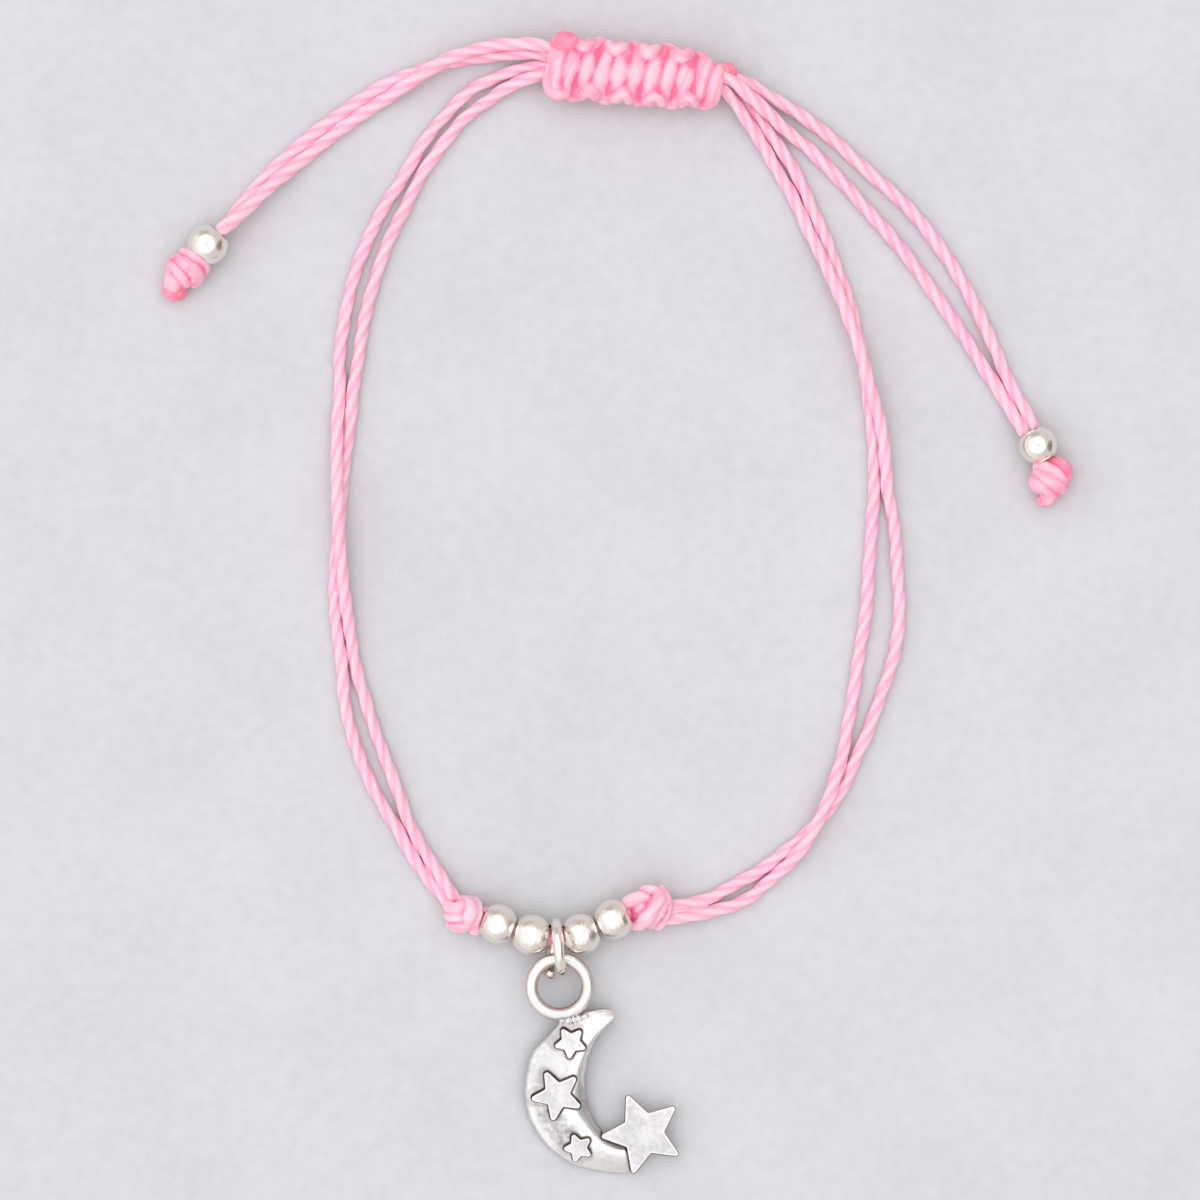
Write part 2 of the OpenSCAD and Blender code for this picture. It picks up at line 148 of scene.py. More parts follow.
# ---------------------------------------------------------------- meshes
class Shape:
    """Vertices in millimetres, faces, and numbers kept for each vertex."""

    def __init__(self):
        self.verts, self.faces, self.smooth = [], [], []
        self.values = {}
        self.count = 0

    def add(self, verts, faces, **values):
        verts = np.asarray(verts, float)
        faces = [tuple(int(i) + self.count for i in f) for f in faces]
        for name, v in values.items():
            v = np.asarray(v, float)
            if name not in self.values:
                width = 1 if v.ndim < 2 else v.shape[1]
                self.values[name] = [np.zeros((self.count, width))]
            if v.ndim == 0:
                v = np.full(len(verts), float(v))
            self.values[name].append(v.reshape(len(verts), -1))
        for name, rows in self.values.items():
            if name not in values:
                rows.append(np.zeros((len(verts), rows[0].shape[1])))
        self.verts.append(verts)
        self.faces += faces
        self.count += len(verts)
        return self

    def make(self, name, material, slot, replaces=()):
        verts = np.concatenate(self.verts)
        verts[:, 2] = np.maximum(verts[:, 2], 0.01)
        verts = verts * MM
        mesh = bpy.data.meshes.new(name)
        mesh.from_pydata(verts.tolist(), [], self.faces)
        mesh.update()
        for key, rows in self.values.items():
            data = np.concatenate(rows)
            kind = "FLOAT" if data.shape[1] == 1 else "FLOAT_VECTOR"
            layer = mesh.attributes.new(key, kind, "POINT")
            layer.data.foreach_set("value" if kind == "FLOAT" else "vector", data.astype(np.float32).ravel())
        mesh.polygons.foreach_set("use_smooth", np.ones(len(mesh.polygons), bool))
        mesh.materials.append(material)
        obj = bpy.data.objects.new(name, mesh)
        scene.collection.objects.link(obj)
        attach(obj, "root")
        if replaces:
            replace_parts(obj, *replaces)
        return obj


def grid_faces(rows, cols, wrap=True, flip=False):
    """Quads over rows of points; wrap joins each row's last point to its first."""
    i, j = np.meshgrid(np.arange(rows - 1), np.arange(cols if wrap else cols - 1), indexing="ij")
    k = (j + 1) % cols
    quads = np.stack([i * cols + j, i * cols + k, (i + 1) * cols + k, (i + 1) * cols + j], axis=-1)
    quads = quads.reshape(-1, 4)
    return quads[:, ::-1] if flip else quads


def tube(shape, path, radius, around, twist=None, notch=0.0, oval=0.0, lead_in=0.0, round_ends=True,
         flat_shade=1.0, plies=2, **values):
    """Sweeps a section along the path: round, or plies that turn with twist.

    radius is one number or one for each point."""
    n = len(path)
    radius = np.full(n, float(radius)) if np.ndim(radius) == 0 else np.asarray(radius, float).copy()
    if round_ends:
        s = arc_length(path)
        for dist in (s, s[-1] - s):
            k = np.clip(dist / (radius * 0.8), 0.0, 1.0)
            radius *= np.sqrt(np.clip(1 - (1 - k) ** 2, 0.02, 1.0))
    t, a, b = frames(path)
    theta = 2 * math.pi * np.arange(around) / around
    turn = np.zeros(n) if twist is None else twist
    off = ((theta % (2 * math.pi / plies)) - math.pi / plies) * plies / 2
    section = 1 - oval * np.cos(off) ** 2 - notch * np.exp(-((off / 0.5) ** 2))
    # Painted shade for the colour: 1 in the grooves between the plies, 0 on their crests.
    depth = 0.65 * np.cos(off) ** 2 + 0.35 * np.exp(-((off / 0.6) ** 2))
    if oval + notch == 0:
        depth = np.full(around, flat_shade)
    angle = theta[None, :] + turn[:, None]
    r = radius[:, None] * section[None, :]
    verts = (path[:, None, :] + (r * np.cos(angle))[:, :, None] * a[:, None, :]
             + (r * np.sin(angle))[:, :, None] * b[:, None, :])
    s = arc_length(path) + lead_in
    follow = angle - 0.55 * turn[:, None]
    fibre = np.stack([np.repeat(s[:, None], around, 1), radius[:, None] * np.cos(follow),
                      radius[:, None] * np.sin(follow)], axis=-1)
    depth = np.repeat(depth[None, :], n, 0)
    verts, fibre, depth = verts.reshape(-1, 3), fibre.reshape(-1, 3), depth.reshape(-1)
    faces = [tuple(q) for q in grid_faces(n, around)]
    last = (n - 1) * around
    faces.append(tuple(range(around - 1, -1, -1)))
    faces.append(tuple(range(last, last + around)))
    given = {k: (np.repeat(v, around) if np.ndim(v) == 1 and len(v) == n else v) for k, v in values.items()}
    shape.add(verts, faces, fibre=fibre, depth=depth, **given)
    return shape


def lump(shape, at, radii, turn=0.0, rough=0.12, scale=1.6, seed=0.0, rows=28, around=44, floor=0.03, **values):
    """A melted blob: an egg shape with soft uneven swellings, kept above the surface."""
    c, s = math.cos(turn), math.sin(turn)
    verts = []
    for i in range(rows + 1):
        p = math.pi * i / rows
        for j in range(around):
            q = 2 * math.pi * j / around
            d = Vector((math.sin(p) * math.cos(q), math.sin(p) * math.sin(q), math.cos(p)))
            k = 1 + rough * noise.noise(d * scale + Vector((seed, seed * 1.7, -seed)))
            k += 0.35 * rough * noise.noise(d * scale * 2.7 + Vector((-seed, 4.1, seed)))
            x, y, z = d.x * radii[0] * k, d.y * radii[1] * k, d.z * radii[2] * k
            verts.append((at[0] + c * x - s * y, at[1] + s * x + c * y, max(floor, at[2] + z)))
    verts = np.array(verts)
    faces = [tuple(q) for q in grid_faces(rows + 1, around, flip=True)]
    faces = [f for f in faces]
    local = (verts - np.array(at)) * 1.0
    # Painted shade: the blob's colour is darkened by the shade value given for it.
    shape.add(verts, faces, fibre=local, depth=np.full(len(verts), values.pop("deep", 0.35)), **values)
    return shape


def fuse(shape, voxel, rounds=6, broad=60, scale=0.10, base=0.30, gain=0.55, painted_spots=()):
    """Joins turns that touch into one skin with softened creases.

    Each point keeps the fibre direction and melting of the cord it came from, and gets painted shade by how
    far it lies in a hollow. Each painted spot is a place on the top side, its radius in pixels of the frame,
    and how much it adds: positive amounts add painted shade, negative ones a painted highlight."""
    raw = bpy.data.meshes.new("raw")
    source = np.concatenate(shape.verts)
    raw.from_pydata(source.tolist(), [], shape.faces)
    holder = bpy.data.objects.new("raw", raw)
    scene.collection.objects.link(holder)
    skin = holder.modifiers.new("skin", "REMESH")
    skin.mode = "VOXEL"
    skin.voxel_size = voxel
    skin.adaptivity = 0.0
    done = holder.evaluated_get(bpy.context.evaluated_depsgraph_get())
    mesh = done.to_mesh()
    v = np.empty(len(mesh.vertices) * 3)
    mesh.vertices.foreach_get("co", v)
    v = v.reshape(-1, 3)
    quads = np.empty(len(mesh.loops), np.int32)
    mesh.loops.foreach_get("vertex_index", quads)
    quads = quads.reshape(-1, 4)
    done.to_mesh_clear()
    bpy.data.objects.remove(holder)
    bpy.data.meshes.remove(raw)
    # Only the outer skin: drops any closed pocket inside it.
    label = np.arange(len(v))
    while True:
        low = label.copy()
        for a, b in ((0, 1), (1, 2), (2, 3), (3, 0)):
            np.minimum.at(low, quads[:, a], label[quads[:, b]])
            np.minimum.at(low, quads[:, b], label[quads[:, a]])
        low = low[low]
        if (low == label).all():
            break
        label = low
    keep = np.bincount(label, minlength=len(v)).argmax()
    quads = quads[label[quads[:, 0]] == keep]
    used = np.unique(quads)
    again = np.zeros(len(v), int)
    again[used] = np.arange(len(used))
    v, quads = v[used], again[quads]
    pairs = np.concatenate([quads[:, [0, 1]], quads[:, [1, 2]], quads[:, [2, 3]], quads[:, [3, 0]]])
    n = len(v)
    count = np.bincount(pairs[:, 0], minlength=n) + np.bincount(pairs[:, 1], minlength=n)

    def soften(p, times):
        for _ in range(times):
            mean = np.stack([(np.bincount(pairs[:, 0], p[pairs[:, 1], k], n) + np.bincount(pairs[:, 1], p[pairs[:, 0], k], n))
                             / count for k in range(3)], axis=1)
            p = p + 0.6 * (mean - p)
        return p

    v = soften(v, rounds)
    wide = soften(v, broad)
    e = np.cross(wide[quads[:, 2]] - wide[quads[:, 0]], wide[quads[:, 3]] - wide[quads[:, 1]])
    normal = np.stack([sum(np.bincount(quads[:, j], e[:, k], n) for j in range(4)) for k in range(3)], axis=1)
    normal /= np.linalg.norm(normal, axis=1)[:, None] + 1e-12
    if ((v - v.mean(axis=0)) * normal).sum() < 0:
        quads, normal = quads[:, ::-1], -normal
    hollow = ((wide - v) * normal).sum(axis=1) / scale
    tree = kdtree.KDTree(len(source))
    for i, point in enumerate(source.tolist()):
        tree.insert(point, i)
    tree.balance()
    nearest = np.array([tree.find(point)[1] for point in v.tolist()])
    old = {k: np.concatenate(rows)[nearest] for k, rows in shape.values.items()}
    own = old["depth"][:, 0]
    # Painted shade: the deeper a point lies in a hollow, the darker its colour.
    depth = base + 0.16 * own + gain * np.minimum(hollow, 1.1)
    upper = np.clip(normal[:, 2] * 1.5 + 0.2, 0, 1)
    # Painted spots on the top side: positive amounts paint shade, negative ones paint a highlight.
    for x, y, r, amount in painted_spots:
        at = np.array(spot(x, y, 2.0))
        depth = depth + amount * upper * np.exp(-((v[:, 0] - at[0]) ** 2 + (v[:, 1] - at[1]) ** 2) / (r / 13.0) ** 2)
    fused = Shape()
    fused.add(v, quads, fibre=old["fibre"], melt=old["melt"][:, 0] if "melt" in old else 0.0,
              depth=np.clip(depth, 0, 1))
    return fused


# ---------------------------------------------------------------- materials
class Look:
    """A small helper for shader trees."""

    def __init__(self, name):
        self.mat = bpy.data.materials.new(name)
        self.mat.use_nodes = True
        self.tree = self.mat.node_tree
        self.tree.nodes.clear()
        self.out = self.add("ShaderNodeOutputMaterial")
        self.bsdf = self.add("ShaderNodeBsdfPrincipled")
        self.tree.links.new(self.bsdf.outputs["BSDF"], self.out.inputs["Surface"])

    def add(self, kind, **props):
        node = self.tree.nodes.new(kind)
        for k, v in props.items():
            setattr(node, k, v)
        return node

    def link(self, a, b):
        self.tree.links.new(a, b)

    def set(self, **values):
        for k, v in values.items():
            self.bsdf.inputs[k.replace("_", " ")].default_value = v

    def attribute(self, name):
        node = self.add("ShaderNodeAttribute", attribute_type="GEOMETRY", attribute_name=name)
        return node

    def noise(self, vector, scale, detail=2.0, rough=0.55, distortion=0.0):
        node = self.add("ShaderNodeTexNoise", noise_dimensions="3D")
        node.inputs["Scale"].default_value = scale
        node.inputs["Detail"].default_value = detail
        node.inputs["Roughness"].default_value = rough
        node.inputs["Distortion"].default_value = distortion
        if vector is not None:
            self.link(vector, node.inputs["Vector"])
        return node.outputs["Fac"]

    def math(self, op, a, b=None, c=None, clamp=False):
        node = self.add("ShaderNodeMath", operation=op, use_clamp=clamp)
        for k, v in enumerate((a, b, c)):
            if v is None:
                continue
            if isinstance(v, (int, float)):
                node.inputs[k].default_value = v
            else:
                self.link(v, node.inputs[k])
        return node.outputs[0]

    def scaled(self, vector, factors):
        node = self.add("ShaderNodeVectorMath", operation="MULTIPLY")
        self.link(vector, node.inputs[0])
        node.inputs[1].default_value = factors
        return node.outputs[0]

    def ramp(self, fac, stops, mode="EASE"):
        node = self.add("ShaderNodeValToRGB")
        node.color_ramp.interpolation = mode
        while len(node.color_ramp.elements) < len(stops):
            node.color_ramp.elements.new(0.5)
        for e, (pos, col) in zip(node.color_ramp.elements, stops):
            e.position = pos
            e.color = (*col, 1.0)
        self.link(fac, node.inputs["Fac"])
        return node.outputs["Color"]

    def spread(self, value, a, b, c, d):
        node = self.add("ShaderNodeMapRange", clamp=True)
        self.link(value, node.inputs["Value"])
        for key, v in zip(("From Min", "From Max", "To Min", "To Max"), (a, b, c, d)):
            node.inputs[key].default_value = v
        return node.outputs["Result"]

    def mix(self, fac, a, b, mode="MIX"):
        node = self.add("ShaderNodeMix", data_type="RGBA", blend_type=mode)
        for key, v in (("Factor", fac), ("A", a), ("B", b)):
            sockets = [s for s in node.inputs if s.name == key and s.enabled]
            socket = sockets[0]
            if isinstance(v, (int, float)):
                socket.default_value = v
            elif isinstance(v, tuple):
                socket.default_value = (*v, 1.0)
            else:
                self.link(v, socket)
        return [s for s in node.outputs if s.enabled][0]

    def bump(self, height, strength, distance, normal=None):
        node = self.add("ShaderNodeBump")
        node.inputs["Strength"].default_value = strength
        node.inputs["Distance"].default_value = distance
        self.link(height, node.inputs["Height"])
        if normal is not None:
            self.link(normal, node.inputs["Normal"])
        return node.outputs["Normal"]


def cord_look(name, crest, mid, groove, melted, soft, streak, fibres):
    """Satin nylon filaments laid in two plies, with painted shade that makes the hollows darker and redder and a
    painted highlight that makes the crests paler.
    """
    m = Look(name)
    fibre = m.attribute("fibre").outputs["Vector"]
    depth = m.attribute("depth").outputs["Fac"]
    melt = m.attribute("melt").outputs["Fac"]
    fine = m.noise(m.scaled(fibre, (0.42, fibres, fibres)), 1.0, 4.0, 0.66)
    broad = m.noise(m.scaled(fibre, (0.22, 0.9, 0.9)), 1.0, 1.0, 0.5)
    shade = m.math("ADD", depth, m.math("MULTIPLY", m.math("SUBTRACT", fine, 0.5), streak))
    shade = m.math("ADD", shade, m.math("MULTIPLY", m.math("SUBTRACT", broad, 0.5), 0.9), clamp=True)
    colour = m.ramp(shade, [(0.0, crest), (0.45, mid), (1.0, groove)])
    uneven = m.math("ADD", melt, m.math("MULTIPLY", m.math("SUBTRACT", m.noise(fibre, 1.7, 2.0, 0.6, 0.6), 0.5),
                                        m.math("MULTIPLY", melt, 1.3)), clamp=True)
    colour = m.mix(uneven, colour, melted)
    m.link(colour, m.bsdf.inputs["Base Color"])
    rough = m.math("SUBTRACT", m.spread(fine, 0.3, 0.7, 0.38, 0.55), m.math("MULTIPLY", melt, 0.12))
    m.link(rough, m.bsdf.inputs["Roughness"])
    m.link(m.bump(fine, 0.5, 0.00006), m.bsdf.inputs["Normal"])
    m.set(Specular_IOR_Level=0.45, Sheen_Weight=0.12, Sheen_Roughness=0.35,
          Subsurface_Weight=soft, Subsurface_Scale=0.00045)
    m.bsdf.inputs["Sheen Tint"].default_value = (1.0, 0.86, 0.93, 1.0)
    m.bsdf.inputs["Subsurface Radius"].default_value = (1.0, 0.30, 0.42)
    return m.mat


# Colours from crest to hollow, then melted cord: the paler crest is a painted highlight, the darker and redder hollow
# colour is painted shade.
CORD = cord_look("pink_cord", (0.965, 0.60, 0.69), (0.96, 0.52, 0.645), (0.95, 0.425, 0.575), (0.97, 0.30, 0.43), 0.3, 0.6, 6.0)
KNOT = cord_look("pink_knot", (0.97, 0.62, 0.71), (0.965, 0.45, 0.58), (0.96, 0.19, 0.36), (0.985, 0.21, 0.345), 0.4, 1.25, 4.4)


def bead_look():
    """Bright plated metal, slightly warm, with faint unevenness."""
    m = Look("bead_silver")
    place = m.add("ShaderNodeTexCoord").outputs["Object"]
    wave = m.noise(place, 900.0, 1.0, 0.4)
    grain = m.noise(place, 5200.0, 3.0, 0.6)
    colour = m.ramp(grain, [(0.0, (0.85, 0.80, 0.74)), (1.0, (0.93, 0.89, 0.84))])
    # Darker warm metal on the flat ends, in the bore and at the ring's cut ends, and painted shade low down on the
    # beads.
    worn = m.attribute("worn").outputs["Fac"]
    colour = m.mix(worn, colour, (0.62, 0.49, 0.39))
    m.link(colour, m.bsdf.inputs["Base Color"])
    m.link(m.spread(grain, 0.3, 0.7, 0.045, 0.10), m.bsdf.inputs["Roughness"])
    first = m.bump(wave, 0.18, 0.00012)
    # Fine rubbing marks round the body.
    local = m.attribute("fibre").outputs["Vector"]
    rubbed = m.noise(m.scaled(local, (3.8, 0.9, 0.9)), 1.0, 3.0, 0.7)
    marks = m.math("MULTIPLY", m.math("SUBTRACT", rubbed, 0.5), m.attribute("brush").outputs["Fac"])
    second = m.bump(marks, 0.8, 0.00008, first)
    m.link(m.bump(grain, 0.07, 0.00001, second), m.bsdf.inputs["Normal"])
    m.set(Metallic=1.0)
    return m.mat


def charm_look():
    """Antiqued cast silver: bright where it is rubbed, dark in the hollows, with painted shade along some edges and a
    painted reflection line on the eye.
    """
    m = Look("charm_silver")
    place = m.add("ShaderNodeTexCoord").outputs["Object"]
    patina = m.attribute("patina").outputs["Fac"]
    dull = m.attribute("dull").outputs["Fac"]
    spotty = m.noise(place, 2600.0, 4.0, 0.65)
    cloudy = m.noise(place, 600.0, 3.0, 0.6)
    bright = m.ramp(spotty, [(0.25, (0.79, 0.77, 0.745)), (0.6, (0.91, 0.90, 0.88))])
    both = m.math("ADD", m.math("MULTIPLY", spotty, 0.5), m.math("MULTIPLY", cloudy, 0.5))
    plate = m.ramp(both, [(0.36, (0.50, 0.492, 0.498)), (0.60, (0.675, 0.662, 0.662))])
    colour = m.mix(dull, bright, plate)
    # Warm brown on walls and edges: patina on the star walls, and painted shade on the sides of the eye.
    warm = m.attribute("warm").outputs["Fac"]
    colour = m.mix(warm, colour, (0.66, 0.52, 0.44))
    # Grey tarnish is a dull skin over the metal, so it scatters light instead of mirroring it. On the eye the same
    # grey paints a reflection line along the top and shade on the inner side.
    stain = m.math("MULTIPLY", m.attribute("stain").outputs["Fac"], m.spread(both, 0.38, 0.60, 0.15, 1.0))
    colour = m.mix(stain, colour, (0.33, 0.32, 0.325))
    # Dark patina in the hollows; the same dark also paints shade along the eye's inner rim and on some star edges.
    dark = m.math("ADD", patina, m.math("MULTIPLY", m.math("SUBTRACT", spotty, 0.5), m.math("MULTIPLY", patina, 0.8)),
                  clamp=True)
    colour = m.mix(dark, colour, (0.05, 0.022, 0.015))
    m.link(colour, m.bsdf.inputs["Base Color"])
    rough = m.math("ADD", m.spread(spotty, 0.3, 0.7, 0.22, 0.34), m.math("MULTIPLY", dull, 0.10))
    rough = m.math("ADD", rough, m.math("MULTIPLY", stain, 0.2))
    m.link(m.math("ADD", rough, m.math("MULTIPLY", dark, 0.45)), m.bsdf.inputs["Roughness"])
    metal = m.math("SUBTRACT", 1.0, m.math("MULTIPLY", stain, 0.75), clamp=True)
    metal = m.math("SUBTRACT", metal, m.math("MULTIPLY", dull, 0.45), clamp=True)
    m.link(m.math("SUBTRACT", metal, dark, clamp=True), m.bsdf.inputs["Metallic"])
    m.link(m.spread(dark, 0.2, 0.8, 0.5, 0.12), m.bsdf.inputs["Specular IOR Level"])
    first = m.bump(cloudy, 0.10, 0.00010)
    m.link(m.bump(spotty, 0.22, 0.00003, first), m.bsdf.inputs["Normal"])
    return m.mat


def floor_look():
    m = Look("pale_surface")
    place = m.add("ShaderNodeTexCoord").outputs["Object"]
    soft = m.noise(place, 90.0, 4.0, 0.6)
    fine = m.noise(place, 900.0, 3.0, 0.6)
    both = m.math("ADD", m.math("MULTIPLY", soft, 0.5), m.math("MULTIPLY", fine, 0.5))
    colour = m.ramp(both, [(0.3, (0.565, 0.567, 0.590)), (0.7, (0.645, 0.645, 0.662))], "LINEAR")
    m.link(colour, m.bsdf.inputs["Base Color"])
    m.link(m.bump(fine, 0.10, 0.00006), m.bsdf.inputs["Normal"])
    m.set(Roughness=0.85, Specular_IOR_Level=0.2)
    return m.mat


BEAD = bead_look()
CHARM = charm_look()

# ---------------------------------------------------------------- cord routes, as the construction has them
LIE = 0.5


def route(rows):
    return [(p[0], p[1], p[2] if len(p) > 2 else LIE) for p in rows]


LEFT_OUTER = route([[-5.85, 34.0, 0.9], [-6.9, 33.9, 0.7], [-8.3, 33.7], [-9.8, 33.1], [-11.4, 32.2],
  [-12.9, 30.8], [-14.2, 29.3], [-15.5, 27.5], [-16.8, 25.2], [-18.2, 22.9], [-19.3, 20.6],
  [-20.2, 18.3], [-20.8, 16.0], [-21.2, 13.7], [-21.5, 11.4], [-21.5, 9.1], [-21.6, 6.8, 0.8],
  [-21.6, 4.5, 1.3], [-21.6, 2.2, 1.5], [-21.5, -0.2, 1.6], [-21.4, -2.5, 1.5], [-21.2, -4.8, 1.4],
  [-21.0, -7.1, 1.1], [-20.6, -9.4, 0.7], [-20.2, -11.7], [-19.7, -14.0], [-19.0, -16.3],
  [-18.2, -18.6], [-17.3, -20.9], [-16.4, -23.2], [-15.3, -25.5], [-14.2, -27.4],
  [-13.2, -28.9, 0.9], [-12.6, -29.9, 1.3]])
LEFT_INNER = route([[-5.95, 33.3, 1.6], [-6.9, 33.0, 1.3], [-8.3, 32.4, 0.8], [-9.8, 31.5], [-11.4, 30.4],
  [-12.9, 28.7], [-14.2, 27.0], [-15.3, 25.2], [-16.5, 22.9], [-17.7, 20.6], [-18.5, 18.3],
  [-19.2, 16.0], [-19.7, 13.7], [-20.0, 11.4], [-20.3, 9.1], [-20.6, 6.8], [-20.9, 4.5],
  [-21.2, 2.2], [-21.4, -0.2], [-21.6, -2.5], [-21.8, -4.8], [-21.8, -7.1], [-21.7, -9.4],
  [-21.4, -11.7], [-21.2, -14.0], [-20.8, -16.3], [-20.1, -18.6], [-19.2, -20.9], [-18.0, -23.2],
  [-16.8, -25.5], [-15.7, -27.4], [-14.5, -29.0], [-13.4, -30.2, 0.8]])
RIGHT_OUTER = route([[8.3, 32.1, 1.7], [9.0, 31.1, 1.5], [10.0, 29.7, 0.9], [10.9, 28.2, 0.6],
  [11.9, 26.4], [13.0, 24.6], [13.9, 22.9], [14.7, 21.2, 0.6], [15.6, 19.5, 1.0], [16.4, 17.7, 1.2],
  [17.2, 16.0, 1.4], [17.8, 14.3, 1.5], [18.4, 12.7, 1.6], [18.8, 11.4, 1.6], [19.2, 9.8, 1.6],
  [19.6, 8.5, 1.5], [20.1, 6.8, 1.4], [20.5, 4.5, 1.1], [20.7, 2.2, 0.8], [21.1, -0.2],
  [21.4, -2.5], [21.5, -4.8], [21.7, -7.1], [21.6, -9.4], [21.2, -11.7], [20.4, -14.0],
  [19.6, -16.3], [18.7, -18.6], [17.7, -20.9], [16.8, -22.5], [15.8, -23.8], [14.5, -25.1],
  [13.2, -26.2], [11.7, -27.3], [10.0, -28.4], [8.2, -29.3], [6.5, -30.0, 0.7], [4.3, -30.5, 1.2]])
RIGHT_INNER = route([[9.1, 32.2, 0.9], [9.8, 31.3, 0.6], [10.8, 30.2], [11.8, 28.9], [12.8, 27.5],
  [13.7, 26.0], [14.5, 24.5], [15.2, 22.6], [15.9, 21.1], [16.5, 19.4], [17.2, 17.6], [17.8, 16.0],
  [18.2, 14.3], [18.6, 12.7], [18.9, 11.4], [19.1, 9.8], [19.3, 8.3], [19.5, 6.8], [19.7, 4.5],
  [19.7, 2.2], [19.6, -0.2], [19.5, -2.5], [19.3, -4.8], [19.2, -7.1], [18.9, -9.4],
  [18.5, -11.7], [18.2, -14.0], [17.8, -16.3], [17.3, -18.6, 0.6], [16.7, -20.9, 1.0],
  [16.1, -22.6, 1.4], [15.3, -24.2, 1.6], [14.5, -25.7, 1.4], [13.3, -27.2, 1.0],
  [11.8, -28.7, 0.6], [10.2, -30.0], [8.2, -30.9, 0.6], [6.3, -31.4, 0.9], [4.4, -31.6, 1.3]])
LEFT_LOW = route([[-5.85, 34.9, 1.4], [-6.9, 35.0, 1.1], [-8.5, 34.9, 0.8], [-10.0, 34.8, 0.6],
  [-11.7, 34.6], [-13.4, 34.3], [-15.0, 33.8], [-16.8, 33.2], [-18.5, 32.4], [-20.1, 31.4],
  [-21.6, 30.3], [-23.1, 29.2], [-24.5, 28.0], [-25.9, 26.8], [-27.2, 25.5], [-28.5, 24.0, 0.6],
  [-29.6, 22.5, 0.9], [-30.4, 21.4, 1.1], [-31.5, 20.2, 1.2], [-32.3, 19.3, 1.2]])
LEFT_HIGH = route([[-5.7, 35.5, 2.2], [-7.5, 35.6, 1.8], [-9.1, 35.6, 1.5], [-10.6, 35.3, 1.5],
  [-12.2, 34.8, 1.5], [-13.7, 34.1, 1.6], [-14.8, 33.4, 1.5], [-15.8, 32.8, 1.4], [-16.5, 32.3, 1.2],
  [-17.2, 31.8, 0.9], [-18.0, 31.3, 0.7], [-19.5, 30.4], [-21.1, 29.3], [-22.5, 28.2], [-24.0, 27.0],
  [-25.2, 26.0, 0.8], [-26.0, 25.3, 1.1], [-26.8, 24.6, 1.4], [-28.0, 23.4, 1.6], [-29.3, 22.1, 1.9],
  [-30.4, 21.4, 2.0], [-31.5, 20.2, 2.0], [-32.2, 19.4, 2.0]])
RIGHT_LOW = route([[8.8, 32.8, 2.4], [9.8, 31.8, 2.2], [10.6, 31.0, 1.9], [11.4, 30.4, 1.6],
  [12.3, 29.6, 1.2], [13.2, 28.8, 0.8], [14.6, 27.8], [15.6, 26.8], [17.4, 25.0], [19.0, 23.2],
  [20.7, 21.3], [22.2, 19.5], [23.6, 17.6], [24.9, 15.8], [26.2, 13.9], [27.4, 12.1], [28.5, 10.2],
  [29.6, 8.4], [30.2, 7.5, 0.8], [30.7, 6.6, 1.2], [31.3, 5.7, 1.5], [31.9, 4.6, 1.5], [32.5, 3.6, 1.5]])
RIGHT_HIGH = route([[9.4, 32.9, 1.6], [11.4, 31.9, 1.1], [13.7, 30.5, 0.6], [15.0, 29.6], [16.2, 28.7],
  [18.3, 26.8], [20.3, 25.0], [22.3, 23.2], [23.9, 21.3], [25.2, 19.5], [26.4, 17.6], [27.4, 15.8],
  [28.3, 13.9], [29.1, 12.1], [30.0, 10.2], [30.9, 8.4], [31.4, 7.5, 0.8], [31.7, 6.7, 1.2],
  [32.0, 6.0, 1.5], [32.6, 5.0, 1.5], [33.2, 4.0, 1.5]])

LEAD = 6.2
STEP = 0.11
AROUND = 24

# name, route, phase of the twist, points that carry it on inside the clasp, stretch into the knot, tail or not
STRANDS = [
    ("loop_left_outer", LEFT_OUTER, 0.4, [(-4.6, 33.9, 1.3)], 0.5, False),
    ("loop_left_inner", LEFT_INNER, 2.1, [(-4.7, 33.5, 1.8)], 0.5, False),
    ("loop_right_outer", RIGHT_OUTER, 1.2, [(6.6, 32.7, 1.6), (7.5, 32.75, 1.8)], 1.1, False),
    ("loop_right_inner", RIGHT_INNER, 3.0, [(6.8, 32.6, 1.2), (8.2, 32.75, 1.2)], 1.1, False),
    ("tail_left_low", LEFT_LOW, 0.9, [(-4.7, 34.5, 1.7)], 0.3, True),
    ("tail_left_high", LEFT_HIGH, 2.6, [(-4.6, 35.0, 2.1)], 0.3, True),
    ("tail_right_low", RIGHT_LOW, 1.7, [(6.6, 33.1, 2.1), (7.8, 33.3, 2.4)], 0.3, True),
    ("tail_right_high", RIGHT_HIGH, 0.1, [(6.6, 33.3, 1.4), (8.2, 33.3, 1.7)], 0.3, True),
]
BESIDE = {"tail_left_low": 0.065, "tail_left_high": -0.065}
